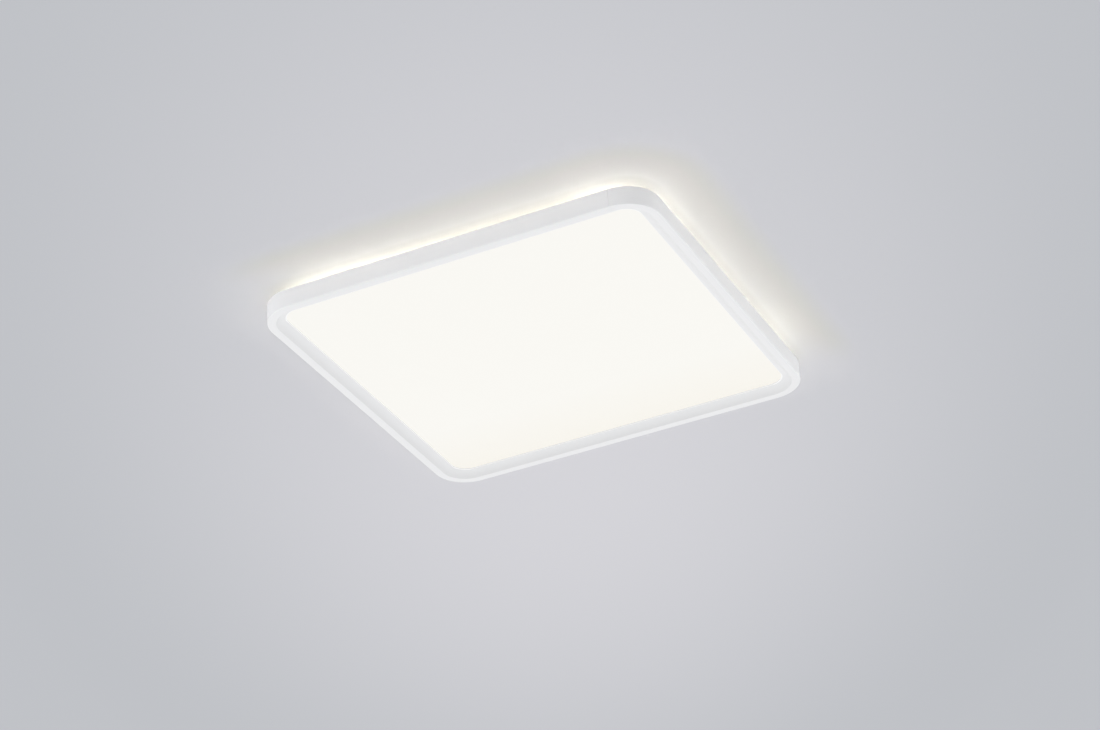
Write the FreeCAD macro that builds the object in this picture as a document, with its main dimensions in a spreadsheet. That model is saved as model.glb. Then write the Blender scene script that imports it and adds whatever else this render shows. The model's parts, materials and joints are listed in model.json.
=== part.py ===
import FreeCAD, Part
import math
import os
import re

import Sketcher

# A slim square ceiling light, 42 cm across and 29 mm deep.
#
# The origin is the centre of the screw slots, on the ceiling plane, and +Z points up into the
# ceiling, so the whole lamp lies at or below z = 0.  From the room upwards it is made of a bent
# frame with a cove round an opal panel, an edge-lit light guide, a back plate, and a rear pan with
# a frosted band that lights the ceiling.  A bracket stays on the ceiling and the lamp clicks onto
# it with two leaf springs.  All lengths are in millimetres.

SIZES = {
    # frame: one profile bent into a square, its ends butted at a hairline seam
    "panel_width": 420.0,
    "ceiling_gap": 9.0,
    "frame_height": 20.0,
    "corner_radius": 37.0,
    "frame_wall": 1.6,
    "edge_round": 0.8,
    "rim_width": 8.7,
    "bevel_width": 10.1,
    "bevel_radius": 20.0,
    "recess_depth": 6.3,
    "web_thickness": 1.4,
    "lip_thickness": 1.0,
    "shelf_width": 7.2,
    "shelf_height": 3.0,
    "seam_width": 0.3,
    "seam_depth": 0.3,
    "seam_plate_reach": 30.0,
    "seam_plate_thickness": 0.8,
    "seam_plate_turn": 40.0,
    # light stack, from the room upwards
    "diffuser_thickness": 1.5,
    "guide_thickness": 3.0,
    "reflector_thickness": 0.3,
    "foam_thickness": 1.8,
    "foam_gap": 1.5,
    "plate_thickness": 0.8,
    "bead_length": 240.0,
    "bead_width": 9.0,
    "bead_height": 1.0,
    "bead_first": 58.0,
    "bead_pitch": 36.0,
    "bead_count": 3.0,
    "loose_fit": 0.5,
    "fine_fit": 0.05,
    "moving_fit": 0.3,
    # edge lighting: a board with a row of diodes at the left and right edge of the guide
    "strip_thickness": 1.0,
    "strip_height": 3.4,
    "strip_end_gap": 3.0,
    "diode_length": 3.0,
    "diode_depth": 0.9,
    "diode_height": 1.4,
    "edge_diode_count": 36.0,
    "guide_air_gap": 0.3,
    # rear pan and the band that lights the ceiling
    "pan_setback": 35.0,
    "pan_corner": 20.0,
    "pan_sheet": 1.0,
    "pan_flange": 10.0,
    "pan_top_flange": 14.0,
    "pan_lip": 3.5,
    "gasket_thickness": 1.5,
    "gasket_setback": 1.5,
    "lens_gap": 6.5,
    "lens_wall": 1.5,
    "flex_thickness": 0.4,
    "flex_height": 8.0,
    "back_diode_count": 24.0,
    "back_diode_pitch": 12.0,
    # screws
    "screw_radius": 1.5,
    "screw_head_radius": 2.8,
    "screw_head_height": 1.3,
    "screw_bite": 2.4,
    "plate_screw_place": 92.0,
    "pan_screw_place": 104.0,
    # ceiling bracket
    "bracket_length": 220.0,
    "bracket_width": 34.0,
    "bracket_sheet": 1.2,
    "bracket_rib": 4.0,
    "bracket_rib_setback": 10.0,
    "bracket_lip_width": 26.0,
    "bracket_lip_depth": 12.0,
    "slot_spacing": 120.0,
    "slot_length": 18.0,
    "slot_width": 4.6,
    "cable_hole_radius": 13.0,
    "window_width": 18.0,
    "window_height": 4.4,
    "window_drop": 5.4,
    "earth_tab_place": 32.0,
    "earth_tab_width": 12.0,
    "earth_tab_depth": 11.4,
    "earth_screw_radius": 1.9,
    "earth_screw_length": 6.0,
    "earth_washer_radius": 4.2,
    "earth_washer_thickness": 0.9,
    # leaf springs that grip the bracket's lips
    "spring_sheet": 0.5,
    "spring_width": 14.0,
    "spring_gap": 2.6,
    "spring_foot": 15.0,
    "spring_riser": 3.0,
    "spring_flare": 2.0,
    "spring_top_drop": 3.6,
    "rivet_radius": 1.5,
    "rivet_head_radius": 2.5,
    "rivet_head_height": 0.8,
    "rivet_spacing": 8.0,
    # terminal box, west of the driver
    "box_to_driver": 23.0,
    "box_length": 64.0,
    "box_near": 48.0,
    "box_width": 47.0,
    "box_wall": 1.6,
    "box_floor": 1.2,
    "box_height": 11.2,
    "lid_thickness": 1.2,
    "lid_tab_length": 4.0,
    "lid_tab_width": 8.0,
    "lid_tab_place": 20.0,
    "barrel_radius": 1.5,
    "pin_radius": 0.7,
    "lid_barrel_length": 30.0,
    "box_barrel_length": 8.0,
    # screwless terminal block with one release button for each pole
    "block_length": 46.0,
    "block_width": 18.0,
    "block_height": 8.6,
    "block_setback": 14.0,
    "pole_pitch": 13.0,
    "button_length": 4.6,
    "button_width": 5.6,
    "button_height": 5.4,
    "button_proud": 0.9,
    "button_travel": 1.5,
    "entry_radius": 1.6,
    "entry_depth": 5.0,
    "entry_rise": 4.1,
    "clamp_sheet": 0.5,
    # cable inlet of the terminal box
    "grommet_bore": 3.5,
    "grommet_neck": 4.3,
    "grommet_flange": 4.95,
    "grommet_lip": 1.2,
    "clamp_span": 22.0,
    "clamp_depth": 6.0,
    "clamp_post": 5.5,
    "clamp_height": 8.0,
    "clamp_bar": 2.2,
    "clamp_setback": 4.0,
    # driver
    "driver_to_slot": 6.5,
    "driver_length": 150.0,
    "driver_near": 58.0,
    "driver_width": 42.0,
    "driver_height": 11.4,
    "driver_wall": 1.6,
    "driver_floor": 1.4,
    "driver_cover": 1.3,
    "driver_ear": 8.0,
    "driver_ear_width": 12.0,
    "board_gap": 2.0,
    "board_rise": 0.6,
    "board_thickness": 1.2,
    "standoff_radius": 2.0,
    "transformer_length": 18.0,
    "transformer_width": 15.0,
    "transformer_height": 6.4,
    "capacitor_radius": 3.0,
    "capacitor_length": 14.0,
    "choke_radius": 5.5,
    "choke_bore": 2.2,
    "choke_height": 5.0,
    # leads
    "mains_lead": 2.0,
    "panel_lead": 1.4,
    "lead_bend": 3.0,
    "lead_pitch": 3.0,
    "earth_stud_place": 66.0,
    "earth_stud_radius": 2.0,
    "earth_stud_height": 6.0,
    "ring_radius": 4.0,
    "ring_thickness": 0.8,
    "ring_barrel_radius": 1.5,
    "ring_barrel_length": 5.0,
    "ring_reach": 4.4,
    "nut_width": 7.0,
    "nut_height": 2.6,
    "lead_slot_length": 18.0,
    "lead_slot_width": 9.0,
    "grommet_rim": 1.5,
    "grommet_rise": 0.5,
    "lead_clip_width": 9.0,
    "lead_clip_length": 8.0,
    "lead_clip_wall": 1.4,
}

# Places and levels that follow from the sizes above.
DERIVED = {
    # frame and light stack; "in" sizes are measured inwards from the outer wall
    "half": "panel_width / 2",
    "wall_z": "-ceiling_gap",
    "rim_z": "wall_z - frame_height",
    "lip_z": "rim_z + recess_depth",
    "seat_z": "lip_z + lip_thickness",
    "guide_z": "seat_z + diffuser_thickness",
    "reflector_z": "guide_z + guide_thickness",
    "foam_z": "reflector_z + reflector_thickness",
    "plate_z": "foam_z + foam_thickness",
    "bay_z": "plate_z + plate_thickness",
    "shelf_in": "frame_wall + shelf_width",
    "lip_in": "rim_width + bevel_width",
    "bevel_chord": "sqrt(bevel_width ^ 2 + recess_depth ^ 2)",
    "bevel_reach": "sqrt(bevel_radius ^ 2 - bevel_chord ^ 2 / 4)",
    "bevel_centre_in": "rim_width + bevel_width / 2 + bevel_reach * recess_depth / bevel_chord",
    "bevel_centre_z": "rim_z + recess_depth / 2 - bevel_reach * bevel_width / bevel_chord",
    "web_radius": "bevel_radius + web_thickness",
    "web_top_in": "bevel_centre_in - sqrt(web_radius ^ 2 - (lip_z - bevel_centre_z) ^ 2)",
    "web_foot_in": "bevel_centre_in - sqrt(web_radius ^ 2 - (rim_z + web_thickness - bevel_centre_z) ^ 2)",
    "corner_place": "half - corner_radius",
    "stack_half": "half - shelf_in - loose_fit",
    "stack_corner": "corner_radius - shelf_in - loose_fit",
    "guide_half": "stack_half - strip_thickness - diode_depth - guide_air_gap",
    "strip_half_length": "corner_place - strip_end_gap",
    "plate_half": "half - frame_wall - loose_fit",
    "plate_corner": "corner_radius - frame_wall - loose_fit",
    "plate_screw_in": "half - frame_wall - shelf_width / 2",
    # rear pan
    "pan_half": "half - pan_setback",
    "pan_top": "-gasket_thickness",
    "pan_seat": "bay_z + pan_sheet",
    "lens_half": "pan_half + lens_gap + lens_wall",
    "lens_top": "pan_top - pan_sheet",
    "lens_end": "pan_half + moving_fit",
    "flex_middle": "(bay_z + lens_top) / 2",
    "pan_screw_in": "pan_half - pan_flange / 2 - pan_sheet",
    # bracket and springs
    "bracket_half": "bracket_length / 2",
    "spring_root": "bracket_half + spring_gap",
    "spring_crest": "bracket_half - bracket_sheet + moving_fit",
    "crest_z": "-window_drop - window_height / 2",
    "earth_z": "-(bracket_rib + earth_tab_depth) / 2",
    "rivet_place": "spring_root + spring_foot * 0.6",
    # terminal box
    "box_east": "driver_west - box_to_driver",
    "box_west": "box_east - box_length",
    "box_centre": "box_west + box_length / 2",
    "box_far": "box_near + box_width",
    "box_top": "bay_z + box_height",
    "box_inside_z": "bay_z + box_floor",
    "lid_z": "box_top + moving_fit",
    "hinge_y": "box_far + moving_fit + barrel_radius",
    "hinge_z": "lid_z + lid_thickness - barrel_radius - moving_fit",
    "block_near": "box_near + block_setback",
    "block_far": "block_near + block_width",
    "block_top": "box_inside_z + block_height",
    "entry_z": "box_inside_z + entry_rise",
    "button_top": "block_top + button_proud",
    "button_well": "button_height - button_proud + button_travel + clamp_sheet + moving_fit",
    "grommet_z": "(box_inside_z + box_top) / 2",
    "clamp_near": "box_near + box_wall + clamp_setback",
    "clamp_top": "box_inside_z + clamp_height",
    # driver
    "driver_east": "lead_slot_west - driver_to_slot - driver_ear",
    "driver_west": "driver_east - driver_length",
    "driver_far": "driver_near + driver_width",
    "driver_middle": "driver_near + driver_width / 2",
    "driver_top": "bay_z + driver_height",
    "board_z": "bay_z + driver_floor + board_rise",
    "parts_z": "board_z + board_thickness",
    # leads
    "lead_z": "entry_z",
    "under_z": "plate_z - panel_lead / 2 - fine_fit * 2",
    "over_z": "bay_z + grommet_rise + panel_lead / 2 + fine_fit * 2",
    "lead_slot_east": "pan_half - pan_sheet - pan_flange - grommet_rim",
    "lead_slot_west": "lead_slot_east - lead_slot_length",
    "lead_slot_place": "lead_slot_east - lead_slot_length / 2",
    "foam_half": "lead_slot_west - foam_gap",
    "lead_slot_y": "(red_y + black_y) / 2",
    "strip_end_x": "stack_half - strip_thickness / 2",
    "lead_lane": "foam_half + lead_slot_width",
    "lead_far_x": "lead_slot_east + lead_slot_length / 2",
    "earth_stud_x": "box_east + box_to_driver / 2",
    "ring_axis_z": "bay_z + ring_barrel_radius + fine_fit",
    "red_y": "driver_near + driver_width / 4",
    "black_y": "red_y + lead_pitch",
    "back_red_y": "driver_near + driver_width * 3 / 4",
    "back_black_y": "back_red_y + lead_pitch",
    "live_y": "neutral_y + lead_pitch",
    "neutral_y": "earth_y + lead_pitch",
    "earth_y": "block_far + lead_pitch * 1.5",
}

doc = FreeCAD.newDocument("CeilingLight")
sheet = doc.addObject("Spreadsheet::Sheet", "Sizes")
for row, (name, size) in enumerate(SIZES.items(), start=1):
    sheet.set(f"A{row}", name)
    sheet.set(f"B{row}", str(size))
    sheet.setAlias(f"B{row}", name)
doc.recompute()

nodes = {}


# ---------------------------------------------------------------- helpers

def bound(expression):
    """The expression with each size written as its cell and each derived name written out."""
    def written_out(match):
        word = match.group(0)
        if word in DERIVED:
            return "(" + bound(DERIVED[word]) + ")"
        if word in SIZES:
            return "Sizes." + word
        return word
    return re.sub(r"[a-z_]+", written_out, str(expression))


def value(expression):
    """The expression's number."""
    return float(sheet.evalExpression(bound(expression)))


def point(x, y, z="0"):
    return FreeCAD.Vector(value(x), value(y), value(z))


def new_body(label):
    made = doc.addObject("PartDesign::Body", label)
    made.AllowCompound = True
    nodes[label] = made
    return made


def sketch(body, name, role="XY_Plane", offset="0"):
    """A sketch on one of the body's own planes, moved along that plane's normal."""
    made = body.newObject("Sketcher::SketchObject", f"{body.Name}_{name}")
    planes = [feature for feature in body.Origin.OriginFeatures if feature.Role == role]
    made.AttachmentSupport = [(planes[0], "")]
    made.MapMode = "FlatFace"
    made.setExpression("AttachmentOffset.Base.z", bound(offset))
    return made


def fix(drawing, kind, *where, size):
    number = drawing.addConstraint(Sketcher.Constraint(kind, *where, value(size)))
    drawing.setExpression(f"Constraints[{number}]", bound(size))


def place_point(drawing, geometry, end, x, y):
    fix(drawing, "DistanceX", -1, 1, geometry, end, size=x)
    fix(drawing, "DistanceY", -1, 1, geometry, end, size=y)


def outline(drawing, corners, arcs=None):
    """A closed outline.  arcs gives, by the corner that it starts at, an arc's radius and turn."""
    arcs = arcs or {}
    first = drawing.GeometryCount
    ends = []
    for number, (x, y) in enumerate(corners):
        start = point(x, y)
        stop = point(*corners[(number + 1) % len(corners)])
        if number not in arcs:
            drawing.addGeometry(Part.LineSegment(start, stop), False)
            ends.append((1, 2))
            continue
        radius, turn = arcs[number]
        side = 1 if turn == "left" else -1
        run = stop - start
        across = FreeCAD.Vector(-run.y, run.x, 0).normalize() * side
        rise = math.sqrt(max(value(radius) ** 2 - run.Length ** 2 / 4, 0))
        centre = (start + stop) / 2 + across * rise
        angles = [math.atan2(end.y - centre.y, end.x - centre.x) for end in (start, stop)]
        circle = Part.Circle(centre, FreeCAD.Vector(0, 0, 1), value(radius))
        drawing.addGeometry(Part.ArcOfCircle(circle, *angles[::side]), False)
        ends.append((1, 2)[::side])
    for number, (x, y) in enumerate(corners):
        after = (number + 1) % len(corners)
        joined = (first + number, ends[number][1], first + after, ends[after][0])
        drawing.addConstraint(Sketcher.Constraint("Coincident", *joined))
        place_point(drawing, first + number, ends[number][0], x, y)
    for number, (radius, turn) in arcs.items():
        fix(drawing, "Radius", first + number, size=radius)


def rounded_square(drawing, reach, radius, reach_y=None):
    """A centred square or rectangle, given by half its size, with rounded corners."""
    x, y = reach, reach_y or reach
    inner_x, inner_y = f"({x} - ({radius}))", f"({y} - ({radius}))"
    corners = [(f"-{inner_x}", f"-({y})"), (inner_x, f"-({y})"), (x, f"-{inner_y}"), (x, inner_y),
               (inner_x, y), (f"-{inner_x}", y), (f"-({x})", inner_y), (f"-({x})", f"-{inner_y}")]
    outline(drawing, corners, {number: (radius, "left") for number in (1, 3, 5, 7)})


def rectangle(drawing, left, right, near, far):
    outline(drawing, [(left, near), (right, near), (right, far), (left, far)])


def circles(drawing, places, radius):
    for x, y in places:
        circle = Part.Circle(point(x, y), FreeCAD.Vector(0, 0, 1), value(radius))
        number = drawing.addGeometry(circle, False)
        place_point(drawing, number, 3, x, y)
        fix(drawing, "Radius", number, size=radius)


def oblong(drawing, x, y, length, width):
    """A slot along X with round ends, given by its end-to-end length."""
    first = drawing.GeometryCount
    radius = f"({width}) / 2"
    reach = f"(({length}) - ({width})) / 2"
    for side, angles in ((1, (-math.pi / 2, math.pi / 2)), (-1, (math.pi / 2, math.pi * 3 / 2))):
        centre_x = f"{x} + {side} * {reach}"
        circle = Part.Circle(point(centre_x, y), FreeCAD.Vector(0, 0, 1), value(radius))
        number = drawing.addGeometry(Part.ArcOfCircle(circle, *angles), False)
        place_point(drawing, number, 3, centre_x, y)
        fix(drawing, "Radius", number, size=radius)
        drawing.addConstraint(Sketcher.Constraint("Vertical", number, 1, number, 3))
        drawing.addConstraint(Sketcher.Constraint("Vertical", number, 2, number, 3))
    for start, stop in (((first, 2), (first + 1, 1)), ((first + 1, 2), (first, 1))):
        line = Part.LineSegment(drawing.getPoint(*start), drawing.getPoint(*stop))
        number = drawing.addGeometry(line, False)
        drawing.addConstraint(Sketcher.Constraint("Coincident", number, 1, *start))
        drawing.addConstraint(Sketcher.Constraint("Coincident", number, 2, *stop))


def pad(body, drawing, height, down=False):
    made = body.newObject("PartDesign::Pad", f"{drawing.Name}_pad")
    made.Profile = drawing
    made.setExpression("Length", bound(height))
    made.Reversed = down
    drawing.Visibility = False
    return made


def pocket(body, drawing, depth, forward=False):
    """Cuts against the sketch's normal, or along it."""
    made = body.newObject("PartDesign::Pocket", f"{drawing.Name}_pocket")
    made.Profile = drawing
    made.setExpression("Length", bound(depth))
    made.Reversed = forward
    return made


def sheet_piece(label, z, thickness, draw):
    """A flat piece: what draw puts in the sketch, raised by the thickness."""
    body = new_body(label)
    face = sketch(body, "face", offset=z)
    draw(face)
    pad(body, face, thickness)
    return body


def swept_ring(label, reach, corner, section, arcs=None):
    """A section on the near side (y, z) carried round a rounded square path."""
    body = new_body(label)
    path = sketch(body, "path")
    rounded_square(path, reach, corner)
    profile = sketch(body, "section", "YZ_Plane")
    outline(profile, section, arcs)
    ring = body.newObject("PartDesign::AdditivePipe", f"{label}_ring")
    ring.Profile = profile
    ring.Spine = path
    return body


def block(label, x, y, z):
    """A plain block between two planes on each axis."""
    made = doc.addObject("Part::Box", label)
    for edge, base, (low, high) in (("Length", "x", x), ("Width", "y", y), ("Height", "z", z)):
        made.setExpression(edge, bound(f"({high}) - ({low})"))
        made.setExpression(f"Placement.Base.{base}", bound(low))
    return made


def cylinder(label, x, y, z, radius, height, tilt=None):
    """A cylinder standing on (x, y, z), or laid over along X or Y."""
    made = doc.addObject("Part::Cylinder", label)
    made.setExpression("Radius", bound(radius))
    made.setExpression("Height", bound(height))
    turns = {"x": FreeCAD.Rotation(FreeCAD.Vector(0, 1, 0), 90),
             "y": FreeCAD.Rotation(FreeCAD.Vector(1, 0, 0), -90)}
    if tilt:
        made.Placement.Rotation = turns[tilt]
    for base, where in (("x", x), ("y", y), ("z", z)):
        made.setExpression(f"Placement.Base.{base}", bound(where))
    return made


def joined(label, pieces):
    made = doc.addObject("Part::MultiFuse", label)
    made.Shapes = pieces
    nodes[label] = made
    return made


def cut(label, base, tool):
    made = doc.addObject("Part::Cut", label)
    made.Base = base
    made.Tool = tool
    nodes[label] = made
    return made


def group(label, pieces):
    """Identical loose pieces that share a node."""
    made = doc.addObject("Part::Compound", label)
    made.Links = pieces
    nodes[label] = made
    return made


def square_places(reach, along):
    """Two places on each side of a square, eight in all."""
    sides = []
    for a in (f"-({reach})", reach):
        for b in (f"-({along})", along):
            sides.extend([(a, b), (b, a)])
    return sides


def fasteners(label, places, seat, length, head=("screw_head_radius", "screw_head_height"),
              radius="screw_radius"):
    """Screws or rivets that point down, with their heads on a face at the seat's height."""
    body = new_body(label)
    heads = sketch(body, "heads", offset=seat)
    circles(heads, places, head[0])
    pad(body, heads, head[1])
    shanks = sketch(body, "shanks", offset=seat)
    circles(shanks, places, f"{radius} - fine_fit")
    pad(body, shanks, length, down=True)


def diode_row(label, start, diode, pitch, count, axis, turns=1):
    """A row of equal diodes along an axis, and the same row on the other sides of a square."""
    body = new_body(label)
    face = sketch(body, "diode", offset=start)
    rectangle(face, *diode[:4])
    first = pad(body, face, diode[4])
    doc.recompute()
    along = body.newObject("PartDesign::LinearPattern", f"{label}_along")
    axes = {feature.Role: feature for feature in body.Origin.OriginFeatures}
    along.Direction = (axes[axis], [""])
    along.setExpression("Length", bound(f"({pitch}) * (({count}) - 1)"))
    along.setExpression("Occurrences", bound(count))
    if turns == 1:
        along.Originals = [first]
        body.Tip = along
        return body
    around = body.newObject("PartDesign::PolarPattern", f"{label}_around")
    around.Axis = (axes["Z_Axis"], [""])
    around.Angle = 360
    around.Occurrences = turns
    both = body.newObject("PartDesign::MultiTransform", f"{label}_both")
    both.Originals = [first]
    both.Transformations = [along, around]
    body.Tip = both
    return body


def tube(places, diameter):
    """A round lead: straight runs between the places, joined by tangent arcs."""
    stops = [point(*place) for place in places]
    runs = [after - before for before, after in zip(stops, stops[1:])]
    edges = []
    start = stops[0]
    for number in range(1, len(stops) - 1):
        before, after = runs[number - 1], runs[number]
        turn = before.getAngle(after)
        longest = 0.45 * min(before.Length, after.Length) / math.tan(turn / 2)
        setback = min(value("lead_bend"), longest) * math.tan(turn / 2)
        radius = setback / math.tan(turn / 2)
        enter = stops[number] - before / before.Length * setback
        leave = stops[number] + after / after.Length * setback
        inward = (after / after.Length - before / before.Length).normalize()
        middle = stops[number] + inward * (radius / math.cos(turn / 2) - radius)
        edges.append(Part.LineSegment(start, enter).toShape())
        edges.append(Part.Arc(enter, middle, leave).toShape())
        start = leave
    edges.append(Part.LineSegment(start, stops[-1]).toShape())
    path = Part.Wire(edges)
    mouth = Part.Circle(stops[0], runs[0], value(diameter) / 2)
    made = path.makePipeShell([Part.Wire([mouth.toShape()])], True, False)
    expected = math.pi * value(diameter) ** 2 / 4 * path.Length
    if abs(made.Volume - expected) > expected * 0.01:
        raise ValueError(f"the lead along {places} has the wrong volume")
    return made


def leads(label, routes, diameter):
    made = doc.addObject("Part::Feature", label)
    tubes = [tube(route, diameter) for route in routes]
    made.Shape = tubes[0] if len(tubes) == 1 else Part.makeCompound(tubes)
    nodes[label] = made
    return made


# ---------------------------------------------------------------- frame

def make_frame():
    """The bent profile: outer wall, flat rim, hollow bevel, seat for the diffuser and screw shelf."""
    def near(inwards):
        return f"-half + {inwards}"

    section = [
        (near("edge_round"), "rim_z"),
        (near("rim_width"), "rim_z"),
        (near("lip_in"), "lip_z"),
        (near("lip_in"), "seat_z"),
        (near("shelf_in"), "seat_z"),
        (near("shelf_in"), "lip_z"),
        (near("web_top_in"), "lip_z"),
        (near("web_foot_in"), "rim_z + web_thickness"),
        (near("frame_wall"), "rim_z + web_thickness"),
        (near("frame_wall"), "plate_z - shelf_height"),
        (near("shelf_in"), "plate_z - shelf_height"),
        (near("shelf_in"), "plate_z"),
        (near("frame_wall"), "plate_z"),
        (near("frame_wall"), "wall_z"),
        ("-half", "wall_z"),
        ("-half", "rim_z + edge_round"),
    ]
    arcs = {1: ("bevel_radius", "right"), 6: ("web_radius", "left"), 15: ("edge_round", "left")}
    body = swept_ring("front_frame", "half", "corner_radius", section, arcs)
    pilots = sketch(body, "pilots", offset="plate_z")
    circles(pilots, square_places("plate_screw_in", "plate_screw_place"), "screw_radius")
    pocket(body, pilots, "shelf_height")
    seam = sketch(body, "seam", offset="wall_z")
    rectangle(seam, "corner_place - seam_width / 2", "corner_place + seam_width / 2",
              "-half - seam_depth", "-half + seam_depth")
    pocket(body, seam, "frame_height - edge_round")


def make_seam_plate():
    """A curved strap behind the wall that holds the two ends of the profile together."""
    outer = "(corner_radius - frame_wall - fine_fit)"
    inner = f"({outer} - seam_plate_thickness)"

    def around(radius):
        return (f"corner_place + {radius} * sin(seam_plate_turn * 1deg)",
                f"-corner_place - {radius} * cos(seam_plate_turn * 1deg)")

    corners = [
        ("corner_place - seam_plate_reach", f"-corner_place - {outer}"),
        ("corner_place", f"-corner_place - {outer}"),
        around(outer),
        around(inner),
        ("corner_place", f"-corner_place - {inner}"),
        ("corner_place - seam_plate_reach", f"-corner_place - {inner}"),
    ]
    arcs = {1: (outer, "left"), 3: (inner, "right")}
    sheet_piece("seam_plate", "rim_z + web_thickness + fine_fit",
                "recess_depth - web_thickness - fine_fit * 2",
                lambda face: outline(face, corners, arcs))


# ---------------------------------------------------------------- light stack

def make_light_stack():
    sheet_piece("diffuser_panel", "seat_z", "diffuser_thickness",
                lambda face: rounded_square(face, "stack_half", "stack_corner"))
    sheet_piece("light_guide", "guide_z", "guide_thickness",
                lambda face: rounded_square(face, "guide_half", "stack_corner", "stack_half"))
    sheet_piece("reflector_sheet", "reflector_z", "reflector_thickness",
                lambda face: rounded_square(face, "guide_half", "stack_corner", "stack_half"))
    sheet_piece("foam_pad", "foam_z", "foam_thickness",
                lambda face: rounded_square(face, "foam_half", "stack_corner"))
    for side, sign in (("right", 1), ("left", -1)):
        faces = [f"{sign} * (stack_half - strip_thickness)", f"{sign} * stack_half"]
        strip = block(f"{side}_led_strip", faces[::sign],
                      ("-strip_half_length", "strip_half_length"),
                      ("guide_z", "guide_z + strip_height"))
        nodes[strip.Name] = strip
        faces = [f"{sign} * (stack_half - strip_thickness - diode_depth)",
                 f"{sign} * (stack_half - strip_thickness)"]
        pitch = "(2 * strip_half_length - diode_length * 2) / (edge_diode_count - 1)"
        diode = (*faces[::sign], "-strip_half_length + diode_length / 2",
                 "-strip_half_length + diode_length * 3 / 2", "diode_height")
        diode_row(f"{side}_edge_leds", "guide_z + (guide_thickness - diode_height) / 2", diode,
                  pitch, "edge_diode_count", "Y_Axis")


# ---------------------------------------------------------------- back plate

def make_back_plate():
    """Coated sheet with three pressed beads that stiffen its free half."""
    body = sheet_piece("back_plate", "plate_z", "plate_thickness",
                       lambda face: rounded_square(face, "plate_half", "plate_corner"))
    holes = sketch(body, "holes", offset="bay_z")
    circles(holes, square_places("plate_screw_in", "plate_screw_place"), "screw_radius")
    circles(holes, square_places("pan_screw_in", "pan_screw_place"), "screw_radius")
    circles(holes, rivet_places(), "rivet_radius")
    circles(holes, driver_screw_places(), "screw_radius")
    circles(holes, box_screw_places(), "screw_radius")
    circles(holes, [("earth_stud_x", "earth_stud_place")], "earth_stud_radius")
    oblong(holes, "lead_slot_place", "lead_slot_y", "lead_slot_length", "lead_slot_width")
    pocket(body, holes, "plate_thickness")
    beads = sketch(body, "beads", offset="bay_z")
    for number in range(round(value("bead_count"))):
        oblong(beads, "0", f"-(bead_first + {number} * bead_pitch)", "bead_length", "bead_width")
    pad(body, beads, "bead_height")
    fasteners("back_plate_screws", square_places("plate_screw_in", "plate_screw_place"), "bay_z",
           "plate_thickness + screw_bite")


# ---------------------------------------------------------------- rear pan and ceiling light band

def make_rear_pan():
    section = [
        ("-pan_half", "bay_z"),
        ("-pan_half + pan_sheet + pan_flange", "bay_z"),
        ("-pan_half + pan_sheet + pan_flange", "pan_seat"),
        ("-pan_half + pan_sheet", "pan_seat"),
        ("-pan_half + pan_sheet", "lens_top"),
        ("-pan_half + pan_top_flange", "lens_top"),
        ("-pan_half + pan_top_flange", "pan_top"),
        ("-pan_half - pan_lip", "pan_top"),
        ("-pan_half - pan_lip", "lens_top"),
        ("-pan_half", "lens_top"),
    ]
    body = swept_ring("rear_pan", "pan_half", "pan_corner", section)
    holes = sketch(body, "screw_holes", offset="pan_seat")
    circles(holes, square_places("pan_screw_in", "pan_screw_place"), "screw_radius")
    pocket(body, holes, "pan_sheet")
    ways = sketch(body, "lead_holes", "YZ_Plane", "pan_half + pan_lip")
    circles(ways, [("back_red_y", "lead_z"), ("back_black_y", "lead_z")],
            "panel_lead / 2 + fine_fit")
    pocket(body, ways, "pan_lip + pan_sheet * 2")
    fasteners("rear_pan_screws", square_places("pan_screw_in", "pan_screw_place"), "pan_seat",
           "pan_sheet + plate_thickness + fine_fit")
    gasket = [
        ("-pan_half - pan_lip + gasket_setback", "pan_top"),
        ("-pan_half + pan_top_flange - gasket_setback", "pan_top"),
        ("-pan_half + pan_top_flange - gasket_setback", "0"),
        ("-pan_half - pan_lip + gasket_setback", "0"),
    ]
    swept_ring("ceiling_gasket", "pan_half", "pan_corner", gasket)


def make_backlight():
    """A flexible strip of diodes round the pan, under a frosted band with a C-shaped section."""
    strip = [
        ("-pan_half - flex_thickness", "flex_middle - flex_height / 2"),
        ("-pan_half", "flex_middle - flex_height / 2"),
        ("-pan_half", "flex_middle + flex_height / 2"),
        ("-pan_half - flex_thickness", "flex_middle + flex_height / 2"),
    ]
    swept_ring("backlight_strip", "pan_half", "pan_corner", strip)
    reach = "back_diode_pitch * (back_diode_count - 1) / 2"
    diode = (f"-({reach}) - diode_length / 2", f"-({reach}) + diode_length / 2",
             "-pan_half - flex_thickness - diode_depth", "-pan_half - flex_thickness", "diode_length")
    diode_row("backlight_leds", "flex_middle - diode_length / 2", diode, "back_diode_pitch",
              "back_diode_count", "X_Axis", turns=4)
    lens = [
        ("-lens_half", "bay_z"),
        ("-lens_end", "bay_z"),
        ("-lens_end", "bay_z + lens_wall"),
        ("-lens_half + lens_wall", "bay_z + lens_wall"),
        ("-lens_half + lens_wall", "lens_top - lens_wall"),
        ("-lens_end", "lens_top - lens_wall"),
        ("-lens_end", "lens_top"),
        ("-lens_half", "lens_top"),
    ]
    swept_ring("backlight_lens", "lens_half", "pan_corner + lens_gap + lens_wall", lens)


# ---------------------------------------------------------------- ceiling bracket

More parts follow.
